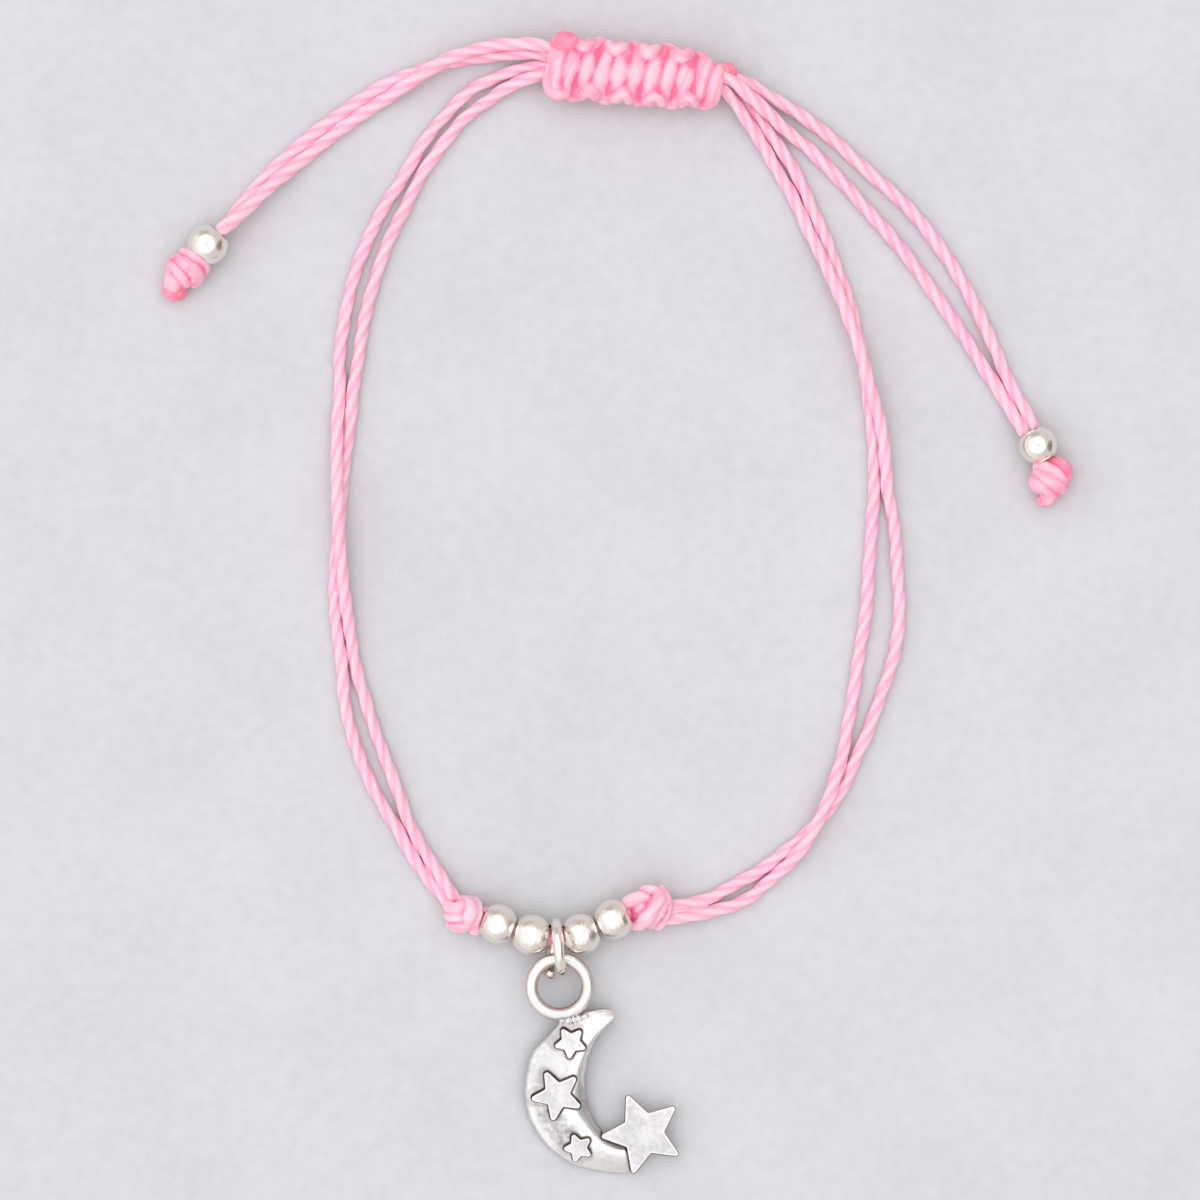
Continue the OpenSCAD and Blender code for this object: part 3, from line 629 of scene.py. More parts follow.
# Small shifts near the front knots: along x, along y, from how far before the end, and faded out again or not.
NUDGE = {"loop_left_outer": (-0.10, 0.0, 12.0, 0.0), "loop_left_inner": (0.16, 0.04, 11.0, 0.0),
         "loop_right_outer": (0.03, -0.17, 9.0, 0.8)}
ways = {}
for name, points, phase, inside, after, is_tail in STRANDS:
    path = relax(spline(inside + points, STEP), 0.8, STEP)
    path = resample(extend(path, 0.0, after), STEP)
    s = arc_length(path)
    if name in BESIDE:
        # The two strands of this tail lie against each other.
        t = np.gradient(path, axis=0)
        side = np.stack([-t[:, 1], t[:, 0], 0 * t[:, 0]], axis=1) / np.linalg.norm(t[:, :2], axis=1)[:, None]
        path = path + side * (BESIDE[name] * np.clip((s - 7.0) / 3.0, 0, 1) * np.clip((s[-1] - s - 2.5) / 2.0, 0, 1))[:, None]
    if name in NUDGE:
        dx, dy, reach, fade = NUDGE[name]
        w = np.clip(1 - (s[-1] - s) / reach, 0, 1)
        w = w * w * (3 - 2 * w) * 1.5
        w = w * (1 - fade * np.clip(1 - (s[-1] - s - 1.5) / 3.0, 0, 1))
        path = path + np.minimum(w, 1.0)[:, None] * np.array([dx, dy, 0.0])
    if not is_tail:
        # Dips into the lower half of the front knot.
        w = np.clip(1 - (s[-1] - s) / 2.2, 0, 1) ** 2
        path[:, 2] += (np.minimum(path[:, 2], 0.8) - path[:, 2]) * w
    ways[name] = path


def draw_together(one, two):
    """Strands that run almost touching lie against each other."""
    moved = {}
    for a, b in ((one, two), (two, one)):
        p, q = ways[a], ways[b]
        apart = np.linalg.norm(p[:, None, :2] - q[None, :, :2], axis=2)
        k = apart.argmin(axis=1)
        near = apart[np.arange(len(p)), k]
        gap = near - 0.96
        amount = 0.5 * np.clip(gap, 0, None) * np.clip((0.45 - gap) / 0.15, 0, 1)
        s = arc_length(p)
        amount *= np.clip(s / 2.0, 0, 1) * np.clip((s[-1] - s) / 1.0, 0, 1)
        push = (q[k, :2] - p[:, :2]) / near[:, None] * amount[:, None]
        r = int(2.0 / STEP)
        kernel = np.exp(-0.5 * (np.arange(-r, r + 1) * STEP / 0.7) ** 2)
        kernel /= kernel.sum()
        moved[a] = np.stack([np.convolve(push[:, j], kernel, mode="same") for j in range(2)], axis=1)
    for name, push in moved.items():
        ways[name][:, :2] += push


for side in ("left", "right"):
    draw_together(f"loop_{side}_outer", f"loop_{side}_inner")
    draw_together(f"tail_{side}_low", f"tail_{side}_high")

strands = {}
for name, points, phase, inside, after, is_tail in STRANDS:
    path = ways[name]
    s = arc_length(path)
    # The lay of the cord wanders a little along its length.
    wander = 0.35 * np.sin(s * 0.23 + phase * 3) + 0.22 * np.sin(s * 0.61 + phase)
    twist = phase + 2 * math.pi * s / LEAD + wander
    radius = np.full(len(s), 0.497) * (1 + 0.03 * np.sin(s * 0.9 + phase * 2) + 0.015 * np.sin(s * 2.3 + phase))
    if is_tail:
        radius *= np.interp(s[-1] - s, [0.0, 2.45, 2.95], [0.78, 0.80, 1.03])
        radius *= 1 + (0.06 if "left" in name else 0.02) * np.clip((s - 7.0) / 3.0, 0, 1)
    if name == "loop_left_outer":
        # Flatter and wider just before the front knot.
        radius *= 1 + 0.09 * np.clip(1 - (s[-1] - s) / 5.0, 0, 1)
    shape = Shape()
    tube(shape, path, radius, AROUND, twist, notch=0.06, oval=0.085, plies=3, lead_in=phase * 37.0, melt=0.0)
    strands[name] = (shape.make(name, CORD, "cord", [name]), path)


# ---------------------------------------------------------------- small knots, band by band
def bands(shape, rows, width, notch=0.04, oval=0.04, lead=7.0, seed=0.0, melt=0.0):
    """Each row is a stretch of cord: its points, a share of the width, and how much it has melted."""
    for k, row in enumerate(rows):
        path = spline(row[0], 0.07)
        s = arc_length(path)
        phase = seed + 1.9 * k
        twist = phase + 2 * math.pi * s / lead
        radius = width * row[1] / 2 * (1 + 0.05 * np.sin(s * 2.1 + phase * 2.3) + 0.03 * np.sin(s * 4.7 + phase))
        tube(shape, path, radius, 28, twist, notch=notch, oval=oval, lead_in=seed * 11 + 5.3 * k, plies=3,
             melt=row[2] if len(row) > 2 else melt)
    return shape


front_left = Shape()
bands(front_left, [
    (spots([(456, 903, 0.6), (450, 904, 1.0), (449, 907, 1.7), (453, 908.5, 2.2), (459, 908, 2.4), (465, 907, 2.15), (471, 906, 1.6)]), 1.02),
    (spots([(455, 912, 0.5), (451, 914, 1.0), (450.5, 916, 1.7), (454, 917, 2.2), (460, 916.5, 2.3), (466, 914.5, 1.9), (471, 912, 1.5)]), 1.0),
    (spots([(450, 919, 0.6), (453, 923, 1.0), (457.5, 925.3, 1.6), (463, 925, 1.95), (470, 922, 2.0), (476, 918, 1.8), (479, 912, 1.4)]), 1.16),
    (spots([(457, 901, 0.7), (463, 901, 1.3), (468, 904, 2.1), (470.5, 909, 2.55), (470, 914, 2.6), (466.5, 919, 2.2), (462, 924, 1.5)]), 1.08),
    (spots([(464, 901, 0.9), (471, 901.5, 1.3), (476, 904.5, 1.8), (478, 909, 2.1), (477.5, 915, 2.1), (475, 922, 1.8), (475, 929, 1.3), (475.5, 934.5, 1.0)]), 0.98),
    (spots([(476, 918, 1.2), (481, 913, 1.4), (486, 911, 1.55), (491, 912, 1.55)]), 0.75),
], 0.95, seed=1.0)
lump(front_left, spot(464.5, 914, 1.35), (1.15, 1.1, 1.2), seed=2.0, deep=0.75)
fuse(front_left, 0.05, rounds=7, broad=90, painted_spots=[(469, 902, 3, 0.2), (459, 921, 3, 0.2)]).make("front_knot_left", KNOT, "knot", ["front_knot_left"])

front_right = Shape()
bands(front_right, [
    (spots([(644, 893, 1.0), (650, 891.5, 1.6), (658, 891.8, 1.9), (663.5, 896, 2.0), (666, 903, 2.0), (665.5, 912, 2.0), (662.5, 919, 1.75), (659, 924, 1.3), (654, 925.5, 0.9)]), 0.95),
    (spots([(662, 890, 1.2), (660, 896, 2.1), (656.5, 904, 2.6), (651.5, 912, 2.65), (645.5, 919, 2.2), (640, 924, 1.5), (635, 925, 0.9)]), 1.16),
    (spots([(664, 897, 1.7), (662.5, 905, 2.3), (659, 913, 2.4), (654.5, 920, 2.0), (648, 926, 1.3)]), 0.95),
    (spots([(650, 899, 1.9), (643, 897, 2.2), (635.5, 898.5, 2.2), (628.5, 902.5, 1.7), (625.5, 907, 1.0)]), 1.08),
    (spots([(641, 893, 1.4), (646.5, 890.5, 1.8), (653, 890, 2.0), (659, 893, 2.0)]), 0.85),
    (spots([(645, 903, 2.1), (639.5, 907, 2.0), (635, 912, 1.4), (634, 917, 0.8)]), 0.8),
    (spots([(648, 919, 1.7), (642.5, 924, 1.7), (636, 925, 1.4), (630, 922.5, 0.9)]), 0.95),
    (spots([(636, 914, 1.2), (628, 914, 1.45), (621, 914.5, 1.55)]), 0.75),
    (spots([(662, 911.5, 1.4), (671, 912.2, 1.36), (680, 910.6, 1.2), (689, 908.9, 1.0), (699, 906.9, 0.85), (709, 904.8, 0.7)]), 0.42),
], 0.98, seed=4.0)
lump(front_right, spot(650, 909, 1.35), (1.45, 1.2, 1.15), seed=5.0, deep=1.0, melt=0.35)
fuse(front_right, 0.05, rounds=7, broad=90, painted_spots=[
    (632.5, 911, 4.5, 0.7), (634, 918, 4, 0.6), (665, 911.6, 2.5, 0.4), (674, 911.6, 4, 0.35), (690, 908.8, 8, 0.3), (705, 905.6, 8, 0.3), (662, 920, 2.5, 0.4), (640, 898, 5, -0.15),
    (646, 893, 2.5, 0.35), (651, 898, 3, 0.3)]).make("front_knot_right", KNOT, "knot", ["front_knot_right"])

end_left = Shape()
bands(end_left, [
    (spots([(184, 254, 1.0), (189, 254, 1.8), (195, 256.5, 2.1), (200, 261.5, 2.0), (203.5, 267, 1.5), (203.5, 271, 0.9)]), 1.2),
    (spots([(177, 259.5, 1.0), (182, 261, 1.9), (187, 264.5, 2.35), (193, 269, 2.3), (197, 274, 1.7), (198, 279, 1.0)]), 1.25),
    (spots([(173, 266, 0.9), (175, 269, 1.6), (179, 273, 2.0), (183, 277, 1.9), (186, 281, 1.4), (186, 285, 0.9)]), 1.25),
    (spots([(203, 262, 1.2), (202.5, 269, 1.4), (199, 275.5, 1.3), (194, 280.5, 1.1), (188, 282.5, 0.9)]), 1.12),
    (spots([(199, 273, 1.7), (194, 277, 1.8), (190, 281, 1.4)]), 0.95),
    (spots([(174.5, 270, 1.2), (174, 277, 1.6), (173.5, 284, 1.5), (173, 291, 1.1)]), 1.5),
], 0.97, seed=7.0, melt=0.22)
lump(end_left, spot(188, 268, 1.3), (1.35, 1.25, 1.1), seed=8.0, deep=0.8, melt=0.5)
lump(end_left, spot(173, 290, 0.95), (0.82, 0.85, 0.85), rough=0.16, scale=1.7, seed=9.0, melt=0.75)
lump(end_left, spot(180.5, 290.5, 0.8), (0.50, 0.72, 0.7), rough=0.16, scale=1.7, seed=10.0, melt=0.95)
lump(end_left, spot(174.5, 261, 1.2), (0.42, 0.42, 0.6), rough=0.16, scale=1.7, seed=11.0, melt=0.9)
fuse(end_left, 0.05, rounds=7, broad=90, base=0.33, gain=0.7, painted_spots=[
    (188.9, 270.6, 3, 0.5), (188.3, 282, 3.5, 0.6), (173, 295, 3, 0.5), (178, 290.4, 2.5, 0.4), (175.5, 259.7, 4.5, 0.5),
    (170, 273.5, 3, 0.4), (197, 256.5, 4, -0.3), (172, 283, 4.5, -0.35), (186, 264.5, 4, -0.3), (205, 268, 4, 0.3)]).make("end_knot_left", KNOT, "knot", ["end_knot_left"])

end_right = Shape()
bands(end_right, [
    (spots([(1038, 466, 1.0), (1042, 466.5, 1.7), (1048, 469, 2.1), (1055, 473, 2.1), (1061, 477.5, 1.7), (1064, 482, 1.1)]), 1.25),
    (spots([(1037.5, 472, 1.0), (1040, 474.5, 1.7), (1045, 477.5, 2.2), (1052, 482, 2.3), (1058, 486.5, 1.8), (1060, 491, 1.2)]), 1.15),
    (spots([(1034, 480, 0.9), (1036.5, 483, 1.6), (1041, 486, 1.95), (1047, 489.5, 1.9), (1051, 494, 1.5), (1051, 499, 1.0)]), 1.25),
    (spots([(1049, 462, 1.3), (1056, 463, 1.7), (1063, 467, 1.8), (1065, 474, 1.6), (1063, 482, 1.4), (1059, 489, 1.2), (1054, 495, 1.0)]), 1.15, 0.75),
    (spots([(1050, 488, 1.7), (1049, 494, 1.6), (1047, 499.5, 1.2), (1045, 501.5, 1.0)]), 1.35),
    (spots([(1045, 461, 1.5), (1051, 460.5, 1.7), (1058, 462, 1.6)]), 0.7, 0.9),
], 0.98, seed=12.0, melt=0.22)
lump(end_right, spot(1050, 478, 1.3), (1.35, 1.3, 1.15), seed=13.0, deep=0.85, melt=0.5)
lump(end_right, spot(1045.5, 500.5, 0.9), (0.72, 0.5, 0.72), rough=0.16, scale=1.7, seed=14.0, melt=0.7)
lump(end_right, spot(1065.5, 468.5, 1.3), (0.55, 0.6, 0.7), rough=0.16, scale=1.7, seed=15.0, melt=0.85)
fuse(end_right, 0.05, rounds=7, broad=90, base=0.35, gain=0.7, painted_spots=[
    (1052, 462, 6, 0.7), (1067, 471.5, 5, 0.5), (1062, 490, 5, 0.45), (1053, 500, 5, 0.4), (1039, 477.6, 3, 0.4),
    (1045, 467.5, 4, -0.3), (1034, 483, 4.5, -0.25), (1055, 477, 3, -0.25), (1049, 490, 3, 0.25)]).make("end_knot_right", KNOT, "knot", ["end_knot_right"])

# ---------------------------------------------------------------- sliding square-knot clasp
CLASP_AT, CLASP_TURN, CLASP_MID = (-5.6, 33.85), math.radians(-5), 1.7


def clasp(points):
    c, s = math.cos(CLASP_TURN), math.sin(CLASP_TURN)
    return [(CLASP_AT[0] + c * p[0] - s * p[1], CLASP_AT[1] + s * p[0] + c * p[1], CLASP_MID + p[2]) for p in points]


BAR0, PITCH, BARS = 1.95, 1.262, 9


def bar_at(k):
    return BAR0 + PITCH * k


LEANING = 0.17
# How far each side turn reaches, up and down, from the first gap between bars to the last.
TURN_UP = [2.0, 2.0, 2.0, 2.0, 2.0, 2.0, 2.0, 1.62, 1.3]
TURN_DOWN = [1.85, 1.9, 1.85, 1.9, 1.8, 1.85, 1.8, 1.8, 1.55]


def front_cord():
    """The end that always passes in front: down one bar, round the side and up the next."""
    p = [(1.7, 1.8, 0.4), (1.3, 1.6, 0.95), (1.03, 0.8, 1.25), (0.95, -0.2, 1.32), (1.02, -1.15, 1.1),
         (1.2, -1.75, 0.45), (1.3, -1.75, -0.5), (1.35, -0.7, -1.0), (1.4, 0.8, -1.0), (1.5, 1.65, -0.5),
         (1.75, 1.85, 0.2)]
    for k in range(BARS + 1):
        x = bar_at(k)
        if k == 0:
            p += [(2.12, 1.3, 0.9), (2.08, 0.6, 1.22), (1.9, -0.3, 1.3), (1.72, -1.1, 1.0)]
        elif k == BARS:
            p += [(x - 0.35, -0.8, 0.85), (x - 0.25, 0.0, 1.0), (x - 0.1, 0.65, 0.7), (x + 0.3, 1.0, 0.3)]
        else:
            for y in ((0.95, 0.0, -0.95) if k % 2 == 0 else (-0.95, 0.0, 0.95)):
                p.append((x + LEANING * y, y, (1.27 if y == 0 else 1.02) - (0.12 if k == BARS - 1 else 0.0)))
        if k < BARS:
            side = -1 if k % 2 == 0 else 1
            reach = (TURN_UP if side > 0 else TURN_DOWN)[k]
            shift = LEANING * side * 1.6
            p += [(x + shift + 0.10, side * (reach - 0.42), 0.4), (x + shift + 0.5 * PITCH, side * reach, -0.1),
                  (x + shift + 0.90 * PITCH, side * (reach - 0.42), 0.4)]
    return p


def back_cord():
    """The end that always passes behind, and comes up in front at the sides to hold the bars."""
    p = [(1.5, 1.8, 0.3), (1.15, 1.6, 0.75), (0.76, 0.85, 1.1), (0.66, -0.2, 1.1), (0.56, -1.0, 0.95),
         (0.58, -1.5, 0.85), (0.82, -1.85, 0.8), (1.2, -1.95, 0.8), (1.6, -1.8, 0.5), (1.8, -1.5, -0.3)]
    for k in range(0, BARS - 1):
        x = bar_at(k)
        side = 1 if k % 2 == 0 else -1
        shift = LEANING * side * 1.4
        p += [(x, -side * 0.95, -0.9), (x, 0.0, -1.02), (x, side * 0.95, -0.9)]
        reach = 1.86 if side > 0 else 1.78
        low = 1.55 if side > 0 else 1.5
        high = 1.36 if side > 0 else 1.1
        if k >= BARS - 3:
            reach, low = reach - 0.1, low - 0.1
        x += shift
        p += [(x + 0.10, side * (reach - 0.25), -0.4), (x + 0.12, side * reach, 0.3),
              (x + 0.27, side * (low + 0.15), high - 0.32), (x + 0.5 * PITCH, side * low, high),
              (x + 0.73 * PITCH, side * (low + 0.15), high - 0.32), (x + 0.88 * PITCH, side * reach, 0.3),
              (x + 0.90 * PITCH, side * (reach - 0.25), -0.4)]
    x = bar_at(BARS - 1)
    p += [(x, 0.5, -0.9), (x + 0.2, 0.2, -0.9)]
    return p


def knot_cord(shape, points, radius, phase, lead_in):
    path = spline(clasp(points), 0.09)
    s = arc_length(path)
    size = radius * (1 + 0.05 * np.sin(s * 1.3 + phase) + 0.04 * np.sin(s * 3.1 + 2 * phase))
    tube(shape, path, size, 28, phase + 2 * math.pi * s / 14.0, notch=0.02, oval=0.04, lead_in=lead_in, plies=3, melt=0.15)


knot = Shape()
knot_cord(knot, front_cord(), 0.69, 0.8, 0.0)
knot_cord(knot, back_cord(), 0.615, 2.0, 91.0)
# What fills the middle, seen only between the turns; its darker pink is painted shade.
rows, around = 60, 40
verts = []
for s in np.linspace(0.25, 13.2, rows):
    end = math.sqrt(max(0.02, 1 - max(0.0, (0.9 - s) / 0.75, (s - 12.6) / 0.75) ** 2))
    for a in 2 * math.pi * np.arange(around) / around:
        c, d = math.cos(a), math.sin(a)
        verts.append((s, math.copysign(abs(c) ** 0.8, c) * 1.66 * end, math.copysign(abs(d) ** 0.8, d) * 1.46 * end))
verts = np.array(verts)
knot.add(np.array(clasp(verts)), [tuple(q) for q in grid_faces(rows, around)] + [tuple(range(around - 1, -1, -1)),
         tuple(range((rows - 1) * around, rows * around))], fibre=verts, depth=0.7, melt=0.12)
lump(knot, spot(565.8, 43.0, 2.85), (1.14, 0.90, 1.0), rough=0.12, seed=21.0, melt=0.8, deep=0.2)
lump(knot, spot(562.0, 50.0, 2.4), (0.8, 0.75, 0.95), rough=0.12, seed=23.0, melt=0.6, deep=0.2)
lump(knot, spot(727.5, 69.5, 2.1), (0.84, 0.55, 0.75), turn=-0.3, rough=0.12, seed=22.0, melt=0.85, deep=0.3)
# Painted spots: shade in the pits between the turns, and paler along the middle of the bars.
fuse(knot, 0.065, rounds=6, broad=70, scale=0.11, base=0.45, gain=0.62, painted_spots=[
    (569, 70.5, 6, -0.34), (580, 71.5, 6, -0.38), (591, 72.3, 6, -0.42), (602, 73, 6, -0.42), (613, 73.8, 6, -0.42),
    (624, 74.6, 6, -0.42), (635, 75.4, 6, -0.42), (646, 76.2, 6, -0.42), (657, 77, 6, -0.42), (668, 78, 6, -0.42),
    (679, 79, 6, -0.3), (690, 80, 6, -0.3),
    (596.4, 56, 4.5, 1.0), (627.5, 61, 4.5, 1.0), (663, 58, 4.5, 1.0), (690, 66, 4.5, 0.9), (632, 46, 4.5, 0.4),
    (664, 47.5, 6, 0.35), (575, 86, 4.5, 0.9), (609, 89, 4.5, 0.8), (640, 92, 4.5, 0.8), (659, 93.5, 4, 0.7),
    (674, 92.5, 4, 0.9), (693, 92.5, 4, 0.7), (559, 84, 4, 0.6), (570, 64, 6, 0.25), (574, 76, 5, 0.3),
    (613, 51, 6, -0.15), (645, 56, 6, -0.15), (676, 61, 6, -0.15), (708, 76, 7, -0.2), (602, 72, 4, -0.15),
    (620, 76, 4, -0.15), (653, 78, 4, -0.15), (556, 66, 3, -0.2)]).make("sliding_knot", KNOT, "cord", ["sliding_knot"])

# ---------------------------------------------------------------- beads
# Front beads: middle along x and y, turn, length, diameter.
FRONT_BEADS = [(-9.2, -31.95, -20, 2.5, 3.1), (-6.635, -32.8, -15.5, 2.6, 3.2), (-2.845, -32.733, 19, 2.66, 3.2),
               (-0.35, -31.6, 24, 2.5, 3.15)]
END_BEADS = [("end_bead_left", -31.5, 20.2, 3.15, 229), ("end_bead_right", 32.25, 4.8, 3.0, 300)]


def bead(name, x, y, d, length, bore, turn, seed, brush):
    """A turned bead: round body, rolled lips at both ends of the bore."""
    big, half, hole = d / 2, length / 2, bore / 2
    edge = math.sqrt(big * big - half * half)
    start = math.atan2(edge, half) + 0.075
    body = [(-big * math.cos(a), big * math.sin(a)) for a in np.linspace(start, math.pi - start, 64)]
    # From the body round the shoulder to the flat end, and round the rim of the bore.
    a0, a1, a2 = np.array(body[-1]), np.array([half + 0.01, edge + 0.02]), np.array([half, edge - 0.16])
    lip = [tuple(a0 * (1 - u) ** 2 + 2 * a1 * u * (1 - u) + a2 * u * u) for u in np.linspace(0, 1, 12)[1:]]
    lip += [(half, edge - 0.16 + (hole + 0.12 - edge + 0.16) * u) for u in (0.33, 0.66)]
    lip += [(half - 0.1 + 0.1 * math.cos(a), hole + 0.1 - 0.1 * math.sin(a)) for a in np.linspace(0, math.pi / 2, 8)]
    profile = [(-px, r) for px, r in reversed(lip)] + body + lip
    # Runs through the bore from the right end to the left one.
    for u in np.linspace(0.0, 1.0, 8)[1:-1]:
        profile.append((half - 0.12 - u * (2 * half - 0.24), hole))
    n = 96
    profile = np.array(profile)
    a = 2 * math.pi * np.arange(n) / n
    verts = np.stack([np.repeat(profile[:, 0][:, None], n, 1), profile[:, 1][:, None] * np.cos(a)[None, :],
                      profile[:, 1][:, None] * np.sin(a)[None, :]], axis=-1).reshape(-1, 3)
    # Slight flats and swellings of a pressed bead.
    for i, v in enumerate(verts):
        w = 0.010 * noise.noise(Vector(v) * 1.1 + Vector((seed, 0, -seed)))
        verts[i] = v * (1 + w)
    local = verts + np.array([seed, 0.0, 0.0])
    # Duller on the flat ends and in the bore, where nothing rubs it; darker low down, which is painted shade.
    worn = np.repeat(np.clip((edge - 0.06 - profile[:, 1]) / 0.1, 0, 1), n)
    inside = np.repeat((profile[:, 1] <= hole + 0.02).astype(float), n)
    under = np.clip(1 - verts[:, 2] / (0.5 * big), 0, 1) ** 2
    rows = len(profile)
    faces = [tuple(q) for q in grid_faces(rows, n, flip=True)]
    last = (rows - 1) * n
    for j in range(n):
        k = (j + 1) % n
        faces.append((k, last + k, last + j, j))
    c, s = math.cos(math.radians(turn)), math.sin(math.radians(turn))
    world = np.stack([x + c * verts[:, 0] - s * verts[:, 1], y + s * verts[:, 0] + c * verts[:, 1],
                      d / 2 + verts[:, 2]], axis=1)
    world[:, 2] = np.maximum(world[:, 2], 0.0)
    shape = Shape()
    shape.add(world, faces, fibre=local, brush=brush, worn=np.clip(0.3 * worn + 0.6 * inside + 0.5 * under, 0, 1))
    return shape.make(name, BEAD, "bead", [name])


for i, (x, y, turn, length, d) in enumerate(FRONT_BEADS):
    bead(f"bead_{i + 1}", x, y, d, length, 1.2, turn, 3.0 + 2.3 * i, 1.0)
end_beads = {}
for name, x, y, d, turn in END_BEADS:
    end_beads[name] = bead(name, x, y, d, 2.5, 1.7, turn, 20.0 + x, 0.3)

# ---------------------------------------------------------------- bead thread
def on_bore(b, along):
    a = math.radians(b[2])
    return (b[0] + along * math.cos(a), b[1] + along * math.sin(a), 1.55)


thread_points = [on_bore(FRONT_BEADS[0], -1.5), on_bore(FRONT_BEADS[0], 1.1), on_bore(FRONT_BEADS[1], -1.1),
                 on_bore(FRONT_BEADS[1], 1.3), (-4.7, -33.05, 1.55), on_bore(FRONT_BEADS[2], -1.3),
                 on_bore(FRONT_BEADS[2], 1.1), on_bore(FRONT_BEADS[3], -1.1), on_bore(FRONT_BEADS[3], 1.5)]
thread = Shape()
path = relax(spline(thread_points, 0.1), 0.3, 0.1)
s = arc_length(path)
tube(thread, path, 0.5, 26, 1.2 + 2 * math.pi * s / LEAD, notch=0.2, oval=0.12, melt=0.15)
thread.make("bead_thread", CORD, "cord", ["bead_thread"])

# ---------------------------------------------------------------- jump ring
ring = Shape()
turn_points = []
for a in np.arange(-8.0, 340.5, 2.0):
    q = 1.84 + 0.006 * max(0.0, a - 280.0)
    r = math.radians(a)
    turn_points.append((-4.28 - a / 360.0, -33.71 - q * math.cos(r), 2.17 + q * math.sin(r)))
path = resample(np.array(turn_points), 0.07)
s = arc_length(path)
cut = np.clip(1 - np.minimum(s, s[-1] - s) / 0.3, 0, 1)
tube(ring, path, 0.405 - 0.05 * cut**2, 30, round_ends=False, worn=0.55 * cut)
lump(ring, path[-1], (0.45, 0.43, 0.42), rough=0.12, seed=31.0, rows=20, around=30, worn=0.5, brush=0.6)
lump(ring, path[-1] + np.array([-0.3, 0.08, -0.12]), (0.3, 0.3, 0.3), rough=0.12, seed=32.0, rows=16, around=24, worn=0.9)
ring.make("jump_ring", BEAD, "bead", ["jump_ring"])

# ---------------------------------------------------------------- charm
LEAN = math.radians(5)
BACK = -0.5
EYE_Z = 14.5 * math.sin(LEAN) - BACK * math.cos(LEAN) + 0.02


def charm_place(v):
    v = np.asarray(v, float)
    y = v[:, 1] * math.cos(LEAN) - v[:, 2] * math.sin(LEAN)
    z = v[:, 1] * math.sin(LEAN) + v[:, 2] * math.cos(LEAN)
    return np.stack([v[:, 0] - 4.42, y - 36.82, z + EYE_Z], axis=1)


CRESCENT_AT = (3.03, -8.54)
# angle, inner radius, outer radius, share of the height
CRESCENT = np.array([
    [80, 6.35, 6.6, 0.45], [82, 5.9, 6.8, 0.55], [87, 5.2, 6.85, 0.72], [93, 4.6, 6.8, 0.85],
    [99, 4.0, 6.75, 0.92], [105, 3.35, 6.65, 0.96], [112, 2.8, 6.5, 1], [118, 2.35, 6.6, 1],
    [122, 2.2, 6.4, 1], [126, 2.02, 6.3, 1], [132, 1.77, 6.22, 1], [138, 1.56, 6.22, 1],
    [143, 1.43, 6.25, 1], [150, 1.3, 6.18, 1], [160, 1.2, 5.97, 1], [172, 1.1, 5.82, 1], [185, 1.05, 5.71, 1], [198, 1.05, 5.66, 1],
    [210, 1.1, 5.59, 1], [224, 1.25, 5.58, 1], [239, 1.45, 5.54, 1], [253, 1.8, 5.64, 1],
    [266, 2.3, 5.75, 0.97], [274, 2.8, 5.88, 0.94], [282, 3.25, 6.07, 0.9], [290, 3.7, 6.33, 0.86],
    [296, 4.0, 6.5, 0.82]])
SECTION = np.array([[0, 0.24], [0.06, 0.42], [0.2, 0.6], [0.42, 0.83], [0.62, 0.96], [0.76, 1],
                    [0.87, 0.86], [1, 0.35]])
CREST_H = 1.35
BIG_STAR = (6.34, -11.23, 3.23, 1.52, 112.2, 1.25)
SMALL_STARS = [(0.78, -4.12, 1.25, 0.62, 121.8, 1.5), (-0.25, -8.20, 2.0, 0.85, 116.4, 1.5),
               (1.37, -12.31, 1.13, 0.55, 111.3, 1.5)]


def soft_interp(x, xs, ys):
    """Smooth interpolation that doesn't overshoot."""
    d = np.diff(ys) / np.diff(xs)
    m = np.concatenate([[d[0]], np.where(d[:-1] * d[1:] > 0, 2 * d[:-1] * d[1:] / (d[:-1] + d[1:] + 1e-12), 0.0), [d[-1]]])
    i = np.clip(np.searchsorted(xs, x, side="right") - 1, 0, len(xs) - 2)
    h = xs[i + 1] - xs[i]
    t = (x - xs[i]) / h
    return ((2 * t**3 - 3 * t**2 + 1) * ys[i] + (t**3 - 2 * t**2 + t) * h * m[i]
            + (-2 * t**3 + 3 * t**2) * ys[i + 1] + (t**3 - t**2) * h * m[i + 1])


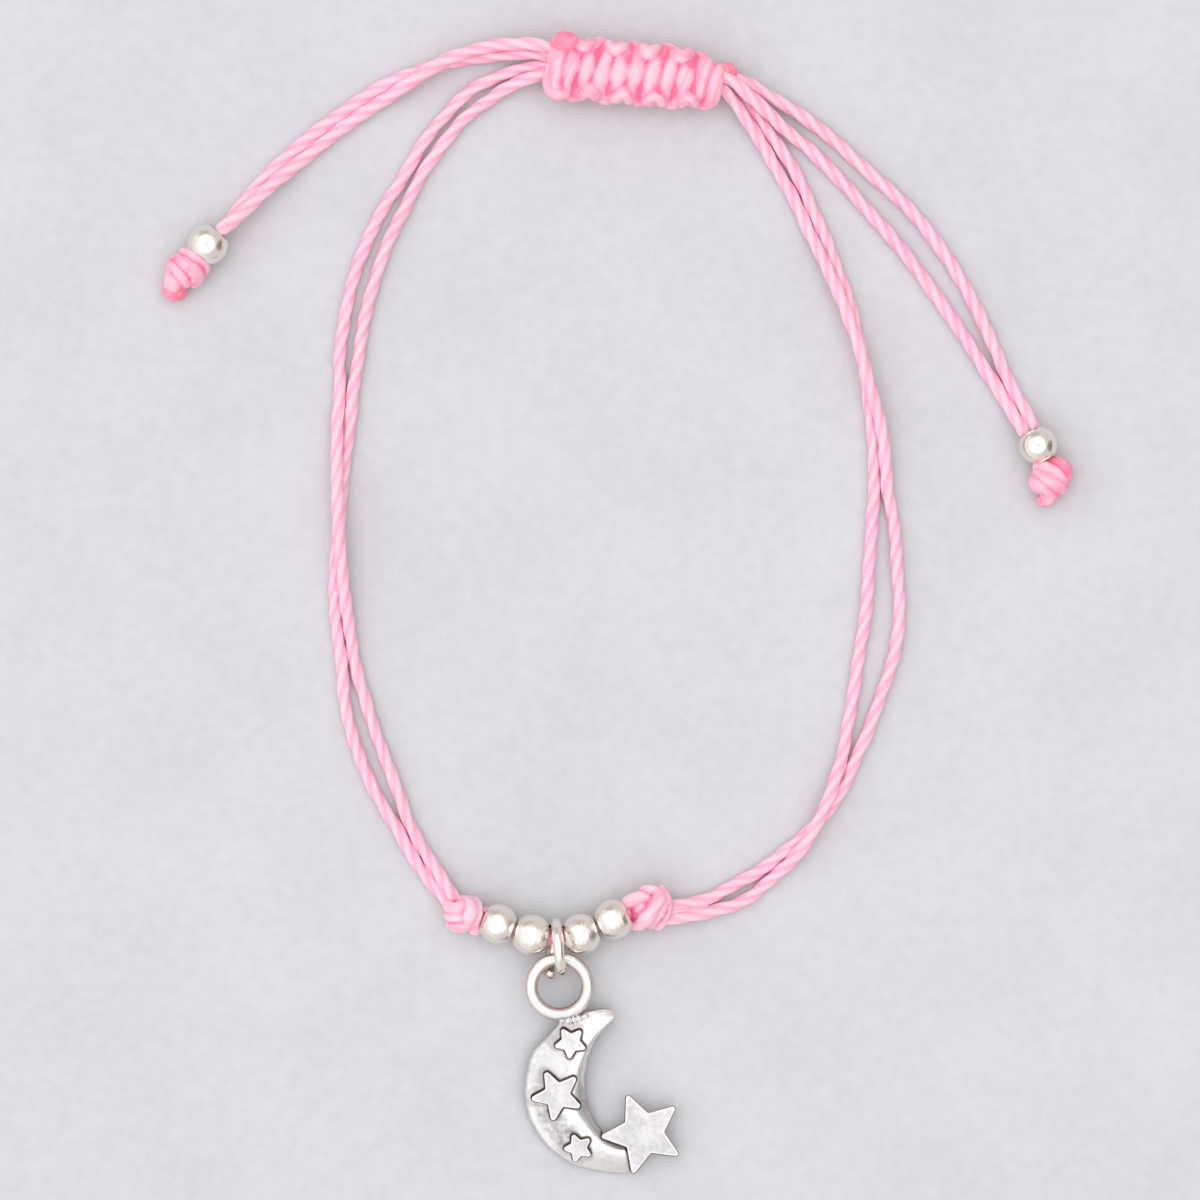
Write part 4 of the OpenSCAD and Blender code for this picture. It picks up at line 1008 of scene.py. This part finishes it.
def star_outline(row, step=0.05, tip=0.2, inner=0.1):
    """Five-pointed star with rounded tips and slightly rounded notches, anticlockwise."""
    x, y, big, small, up = row[:5]
    corners = []
    for i in range(5):
        a = math.radians(up + 72 * i)
        corners.append((big * math.cos(a), big * math.sin(a), tip))
        b = a + math.radians(36)
        corners.append((small * math.cos(b), small * math.sin(b), inner))
    pts = []
    n = len(corners)
    for i in range(n):
        p = np.array(corners[i][:2])
        u = np.array(corners[i - 1][:2]) - p
        v = np.array(corners[(i + 1) % n][:2]) - p
        u /= np.linalg.norm(u)
        v /= np.linalg.norm(v)
        half = math.acos(float(np.clip(u @ v, -1, 1))) / 2
        cut = corners[i][2] / math.tan(half)
        centre = p + (u + v) / np.linalg.norm(u + v) * (corners[i][2] / math.sin(half))
        a0 = p + u * cut - centre
        a1 = p + v * cut - centre
        for t in np.linspace(0, 1, 9):
            w = a0 * (1 - t) + a1 * t
            pts.append(centre + w / np.linalg.norm(w) * corners[i][2])
    pts = np.array(pts)
    # The rounded tips are cut back by their radius, so the star grows to keep its reach.
    reach = np.linalg.norm(pts, axis=1).max()
    pts *= big / reach
    closed = np.concatenate([pts, pts[:1]])
    flat = np.concatenate([closed, np.zeros((len(closed), 1))], axis=1)
    s = arc_length(flat)
    even = resample(flat, step, s)[:-1, :2]
    return even + np.array([x, y])


def inset(outline, by):
    nxt, prv = np.roll(outline, -1, axis=0), np.roll(outline, 1, axis=0)
    d = nxt - prv
    d /= np.linalg.norm(d, axis=1)[:, None]
    return outline + by * np.stack([-d[:, 1], d[:, 0]], axis=1)


def outline_distance(p, outline):
    """Signed distance in the plane, negative inside."""
    a, b = outline, np.roll(outline, -1, axis=0)
    best = np.full(len(p), 1e9)
    inside = np.zeros(len(p), bool)
    for (ax, ay), (bx, by) in zip(a, b):
        ex, ey = bx - ax, by - ay
        t = np.clip(((p[:, 0] - ax) * ex + (p[:, 1] - ay) * ey) / (ex * ex + ey * ey + 1e-12), 0, 1)
        d = np.hypot(p[:, 0] - ax - t * ex, p[:, 1] - ay - t * ey)
        best = np.minimum(best, d)
        cross = (ay > p[:, 1]) != (by > p[:, 1])
        with np.errstate(divide="ignore", invalid="ignore"):
            side = p[:, 0] < (bx - ax) * (p[:, 1] - ay) / (by - ay + 1e-15) + ax
        inside ^= cross & side
    return np.where(inside, -best, best)


charm = Shape()
stars = [(row, star_outline(row, 0.05, 0.17 if row[2] < 1.5 else 0.2)) for row in SMALL_STARS]
big_outline = star_outline(BIG_STAR, 0.06, 0.22, 0.08)

# Crescent: rows along its curve, columns from the back over the outer rim and across to the inner rim.
angles = np.linspace(80.0, 296.0, 300)
r_in = soft_interp(angles, CRESCENT[:, 0], CRESCENT[:, 1])
r_out = soft_interp(angles, CRESCENT[:, 0], CRESCENT[:, 2])
share = soft_interp(angles, CRESCENT[:, 0], CRESCENT[:, 3])
cols = 84
place = np.concatenate([[0.03, 0.0, 0.0], np.linspace(0.0, 1.0, cols) ** 1.0, [1.0, 1.0, 0.97]])
top = np.concatenate([[0, 0, 0], np.ones(cols), [0, 0, 0]])
height = soft_interp(np.clip(place, 0, 1), SECTION[:, 0], SECTION[:, 1])
height[:3] = (0.033, 0.06, 0.17)
height[-3:] = (0.26, 0.12, 0.033)
# Softly rounded outer edge and a fine raised rim just inside it.
rim = 0.045 * np.exp(-(((place - 0.035) / 0.022) ** 2)) * top
w = (r_out - r_in)[:, None]
r = r_out[:, None] - place[None, :] * w
z = BACK + CREST_H * share[:, None] * height[None, :] + (rim[None, :] * share[:, None])
z[:, :1] = BACK + 0.05
z[:, -1:] = BACK + 0.05
a = np.radians(angles)[:, None]
x = CRESCENT_AT[0] + r * np.cos(a)
y = CRESCENT_AT[1] + r * np.sin(a)
flat = np.stack([x.ravel(), y.ravel()], axis=1)
near = np.full(len(flat), 9.0)
for row, outline in stars:
    near = np.minimum(near, outline_distance(flat, outline))
near_big = outline_distance(flat, big_outline)
on_top = np.tile(top, len(angles))
groove = np.exp(-(((near - 0.03) / 0.08) ** 2)) * on_top
# The relief swells a little under the small stars, so that their edges stand out evenly.
plates = np.full(len(flat), 0.0)
for row, outline in stars:
    d = outline_distance(flat, outline)
    plates = np.maximum(plates, np.exp(-(np.maximum(d, 0.0) / 0.45) ** 2) * (BACK + row[5] - 0.28))
lifted = np.maximum(z.ravel(), np.where(on_top > 0, z.ravel() + 0.55 * np.maximum(plates - z.ravel(), 0.0)
                                        * (plates > 0.05), z.ravel()))
zz = lifted - 0.08 * groove
uneven = np.array([0.020 * noise.noise(Vector((px * 1.6, py * 1.6, 3.0))) + 0.006 * noise.noise(Vector((px * 5.5, py * 5.5, 9.0)))
                   for px, py in flat])
zz = zz + uneven * on_top
across = np.tile(place, len(angles))
along = np.repeat(angles, len(place))
patina = np.clip(np.exp(-((np.maximum(near, 0.0) / 0.12) ** 2)), 0, 1) * on_top
patina = np.maximum(patina, np.exp(-((np.maximum(near_big, 0.0) / 0.12) ** 2)) * on_top)
patina = np.maximum(patina, 0.8 * (1 - on_top))
patina = np.maximum(patina, 0.35 * np.clip(1 - np.tile(np.minimum(place, 1 - place), len(angles)) / 0.011, 0, 1))
halo = np.exp(-np.maximum(near, 0.0) / 0.25)
# Grey tarnish in the lower outer part, along the inner bevel and round the stars.
lower = np.clip((along - 162) / 26, 0, 1) * np.clip((256 - along) / 26, 0, 1)
zone = lower * np.exp(-(((across - 0.38) / 0.29) ** 2))
bevel = np.clip((across - 0.80) / 0.07, 0, 1) * np.clip((along - 148) / 22, 0, 1) * (0.6 + 0.4 * lower)
veil = 0.22 * np.clip((along - 120) / 60, 0, 1) * (1 - np.exp(-(((across - 0.70) / 0.13) ** 2)))
beside = np.exp(-(((flat[:, 0] + 1.55) / 0.55) ** 2) - (((flat[:, 1] + 7.35) / 0.6) ** 2))
beside += np.exp(-(((flat[:, 0] - 1.75) / 0.4) ** 2) - (((flat[:, 1] + 8.2) / 1.2) ** 2))
stain = np.clip(1.1 * zone + 0.5 * bevel + 0.35 * halo + veil + 0.7 * beside, 0, 1) * on_top
# The outer rim is rubbed bright all along.
rubbed = np.clip((0.16 - across) / 0.07, 0, 1)
stain = stain * (1 - 0.85 * rubbed)
matt = np.clip(0.2 * rubbed * np.clip((along - 150) / 20, 0, 1)
               + 0.86 * np.clip((0.74 - across) / 0.12, 0, 1) * np.clip((along - 106) / 12, 0, 1)
               * np.clip((178 - along) / 20, 0, 1) + 0.3 * bevel + 0.3 * np.clip((along - 262) / 14, 0, 1), 0, 0.86) * on_top
verts = charm_place(np.stack([flat[:, 0], flat[:, 1], zz], axis=1))
m, n = len(angles), len(place)
faces = [tuple(q) for q in grid_faces(m, n, wrap=True, flip=True)]
faces.append(tuple(range(n)))
faces.append(tuple(range((m - 1) * n + n - 1, (m - 1) * n - 1, -1)))
charm.add(verts, faces, patina=patina, stain=stain, dull=matt, warm=0.3 * (1 - on_top))


def add_star(row, outline, base, seed, plate=1.0):
    """A flat plate with a softened top edge; its back edge is rounded off."""
    h = row[5]
    rings, pat, dul = [], [], []
    under = 0.18 if base == 0 else 0.10
    wide = 0.035 if base == 0 else 0.012
    for by, level, p, d in ((under, base, 1.0, 0.0), (under * 0.85, base + (h - base) * 0.15, 1.0, 0.0),
                            (under * 0.5, base + (h - base) * 0.5, 1.0, 0.0), (0.0, h - 0.16, 1.0, 0.0),
                            (0.0, h - 0.09, 1.0, 0.0), (wide, h - 0.05, 1.0, 0.0), (wide + 0.025, h - 0.022, 0.6, 0.0),
                            (wide + 0.05, h - 0.002, 0.03, 0.1), (wide + 0.10, h + 0.003, 0.0, 0.55)):
        rings.append(np.concatenate([inset(outline, by), np.full((len(outline), 1), BACK + level)], axis=1))
        pat.append(p)
        dul.append(d)
    inner = rings[-1]
    centre = np.array([row[0], row[1]])
    for k in (0.93, 0.82, 0.68, 0.5, 0.33, 0.17, 0.03):
        q = inner.copy()
        q[:, :2] = centre + (q[:, :2] - centre) * k
        rings.append(q)
        pat.append(0.0)
        dul.append(plate)
    verts = np.concatenate(rings)
    for i in range(len(outline) * 7, len(verts)):
        v = verts[i]
        verts[i, 2] += 0.012 * noise.noise(Vector((v[0] * 1.4, v[1] * 1.4, seed)))
    n = len(outline)
    faces = [tuple(q) for q in grid_faces(len(rings), n, flip=False)]
    # Both flats close on a small ring at the middle.
    first = len(verts)
    under_rings = [verts[:n]]
    for k in (0.8, 0.5, 0.25, 0.04):
        q = verts[:n].copy()
        q[:, :2] = centre + (q[:, :2] - centre) * k
        under_rings.append(q)
    verts = np.concatenate([verts] + under_rings[1:])
    levels = [0] + [first + k * n for k in range(len(under_rings) - 1)]
    for a, b in zip(levels[:-1], levels[1:]):
        faces += [(a + (j + 1) % n, a + j, b + j, b + (j + 1) % n) for j in range(n)]
    faces.append(tuple(range(levels[-1] + n - 1, levels[-1] - 1, -1)))
    faces.append(tuple(range((len(rings) - 1) * n, len(rings) * n)))
    pat += [0.35] * (len(under_rings) - 1)
    dul += [0.0] * (len(under_rings) - 1)
    if base == 0:
        # The tall edge is only dark near the top; below it is plain grey metal.
        pat[:4] = [0.35, 0.4, 0.55, 0.9]
    # Painted shade: the dark edge is lighter where the outline faces up and right, and darker on the left and lower
    # edges.
    d = np.roll(outline, -1, axis=0) - np.roll(outline, 1, axis=0)
    d /= np.linalg.norm(d, axis=1)[:, None]
    lit = np.clip(0.5 + 0.9 * (d[:, 1] * 0.55 - d[:, 0] * 0.83), 0, 1)
    shade = 1 - (0.45 if base == 0 else 0.12) * lit
    charm.add(charm_place(verts), faces, patina=np.repeat(pat, n) * np.tile(shade, len(pat)), stain=0.0,
              dull=np.repeat(dul, n), warm=np.repeat(pat, n) * 0.5)


for k, (row, outline) in enumerate(stars):
    add_star(row, outline, 0.3, 5.0 + k, 0.84 if row[1] > -6.0 else 1.0)
add_star(BIG_STAR, big_outline, 0.0, 11.0)

# Eye, a little flattened on top.
n_round, n_tube = 168, 72
ra = 2 * math.pi * np.arange(n_round) / n_round
ta = 2 * math.pi * np.arange(n_tube) / n_tube
rr = 2.155 + 0.48 * np.cos(ta)
zz = 0.43 * np.sign(np.sin(ta)) * np.abs(np.sin(ta)) ** 0.95
verts = np.stack([(rr[None, :] * np.cos(ra)[:, None] - 0.06), (0.08 + rr[None, :] * np.sin(ra)[:, None]),
                  np.repeat(zz[None, :], n_round, 0)], axis=-1).reshape(-1, 3)
faces = []
for i in range(n_round):
    for j in range(n_tube):
        i2, j2 = (i + 1) % n_round, (j + 1) % n_tube
        faces.append((i * n_tube + j, i2 * n_tube + j, i2 * n_tube + j2, i * n_tube + j2))
# Painted shadow along the inner rim, strongest on the right and lower inner edge; darker along the outer edge; warm
# painted shade on both sides; a painted reflection line along the top, with painted shade on the inner side.
inner_side = np.clip((-np.cos(ta) - 0.84) / 0.12, 0, 1)
outer_side = np.clip((np.cos(ta) - 0.92) / 0.08, 0, 1)
facing = np.clip(0.35 + 0.65 * np.cos(ra + math.radians(35)), 0.12, 1)
warm = np.clip((-np.cos(ta) - 0.25) / 0.4, 0, 1) + np.clip((np.cos(ta) - 0.66) / 0.2, 0, 1)
reflection_line_and_shade = np.exp(-(((ta - math.pi / 2 + 0.08) / 0.15) ** 2)) + 0.35 * np.clip((-np.cos(ta) - 0.4) / 0.4, 0, 1)
charm.add(charm_place(verts), faces, patina=(0.85 * facing[:, None] * inner_side[None, :] + 0.35 * outer_side[None, :]).ravel(),
          stain=np.tile(0.45 * reflection_line_and_shade, n_round), dull=np.tile(0.24 + 0.2 * reflection_line_and_shade, n_round),
          warm=np.tile(0.8 * warm, n_round))


def charm_lump(at, radii, seed, pat=0.0, rough=0.35):
    blob = Shape()
    lump(blob, (0, 0, 0), radii, rough=rough, scale=2.4, seed=seed, rows=14, around=22, floor=-9)
    verts = blob.verts[0] + np.array(at)
    charm.add(charm_place(verts), blob.faces, patina=pat, stain=0.2, dull=0.0)


# Cast seam where the eye meets the crescent.
for at, radii, seed in [((0.15, -2.62, 0.0), (0.26, 0.42, 0.34), 1.0), ((0.62, -2.6, 0.02), (0.3, 0.34, 0.32), 2.0),
                        ((1.05, -2.52, 0.05), (0.26, 0.3, 0.33), 3.0), ((1.45, -2.38, 0.08), (0.32, 0.3, 0.34), 4.0),
                        ((1.9, -2.2, 0.1), (0.28, 0.28, 0.34), 5.0), ((0.85, -2.85, 0.2), (0.16, 0.14, 0.2), 6.0),
                        ((0.12, -2.75, 0.28), (0.09, 0.42, 0.16), 7.0)]:
    charm_lump(at, radii, seed)
charm.make("pendant", CHARM, "charm", ["pendant"])

# ---------------------------------------------------------------- each cord looked up again; nothing is done with it
for name in ("loop_left_outer", "loop_left_inner", "loop_right_outer", "loop_right_inner"):
    obj, path = strands[name]
for name in ("tail_left_low", "tail_left_high", "tail_right_low", "tail_right_high"):
    obj, path = strands[name]

# ---------------------------------------------------------------- surface and light
bpy.ops.mesh.primitive_plane_add(size=3.0, location=(0, 0, 0))
floor = bpy.context.object
floor.name = "surface"
floor.data.materials.append(floor_look())

world = bpy.data.worlds.new("studio")
scene.world = world
world.use_nodes = True
tree = world.node_tree
tree.nodes.clear()


def wnode(kind, **props):
    node = tree.nodes.new(kind)
    for k, v in props.items():
        setattr(node, k, v)
    return node


def wmath(op, a, b=None):
    node = wnode("ShaderNodeMath", operation=op)
    for k, v in enumerate((a, b)):
        if v is None:
            continue
        if isinstance(v, (int, float)):
            node.inputs[k].default_value = v
        else:
            tree.links.new(v, node.inputs[k])
    return node.outputs[0]


def wdot(direction):
    node = wnode("ShaderNodeVectorMath", operation="DOT_PRODUCT")
    tree.links.new(sky, node.inputs[0])
    v = Vector(direction).normalized()
    node.inputs[1].default_value = v
    return node.outputs["Value"]


def wstep(value, a, b):
    node = wnode("ShaderNodeMapRange", interpolation_type="SMOOTHSTEP", clamp=True)
    tree.links.new(value, node.inputs["Value"])
    node.inputs["From Min"].default_value = a
    node.inputs["From Max"].default_value = b
    return node.outputs["Result"]


def wmix(fac, a, b):
    node = wnode("ShaderNodeMix", data_type="RGBA")
    for key, v in (("Factor", fac), ("A", a), ("B", b)):
        socket = [s for s in node.inputs if s.name == key and s.enabled][0]
        if isinstance(v, tuple):
            socket.default_value = (*v, 1.0)
        else:
            tree.links.new(v, socket)
    return [s for s in node.outputs if s.enabled][0]


sky = wnode("ShaderNodeTexCoord").outputs["Generated"]
soft_box = wstep(wdot((-0.13, -0.01, 1.0)), math.cos(math.radians(61)), math.cos(math.radians(50)))
lens_gap = wstep(wdot((0.0, 0.0, 1.0)), math.cos(math.radians(16.0)), math.cos(math.radians(8.0)))
right_dark = wstep(wdot((1.0, -0.08, 0.22)), 0.86, 0.985)
back_dark = wstep(wdot((-0.30, 1.0, 0.25)), 0.85, 0.98)
left_side = wstep(wdot((-1.0, 0.0, 0.0)), -0.6, 0.9)
walls = wmix(left_side, (0.72, 0.69, 0.66), (0.97, 0.94, 0.91))
walls = wmix(right_dark, walls, (0.27, 0.25, 0.235))
walls = wmix(back_dark, walls, (0.58, 0.55, 0.53))
# The soft box is brighter towards the upper left and round the lens.
box = wmix(wstep(wdot((-1.0, 0.35, 0.0)), -0.9, 0.9), (0.95, 0.95, 0.97), (1.30, 1.30, 1.32))
light = wmix(soft_box, walls, box)
round_lens = wmath("POWER", wmath("MAXIMUM", wdot((0.0, 0.0, 1.0)), 0.0), 8.4)
glow = wnode("ShaderNodeVectorMath", operation="SCALE")
glow.inputs[0].default_value = (1.5, 1.5, 1.52)
tree.links.new(round_lens, glow.inputs["Scale"])
total = wnode("ShaderNodeVectorMath", operation="ADD")
tree.links.new(light, total.inputs[0])
tree.links.new(glow.outputs[0], total.inputs[1])
light = wmix(lens_gap, total.outputs[0], (0.94, 0.93, 0.96))
background = wnode("ShaderNodeBackground")
tree.links.new(light, background.inputs["Color"])
background.inputs["Strength"].default_value = 1.0
tree.links.new(background.outputs[0], wnode("ShaderNodeOutputWorld").inputs["Surface"])
world.cycles.sampling_method = "MANUAL"
world.cycles.sample_map_resolution = 1024

scene.view_settings.view_transform = "Standard"
scene.view_settings.look = "None"
scene.view_settings.exposure = 0.0
scene.view_settings.gamma = 1.0
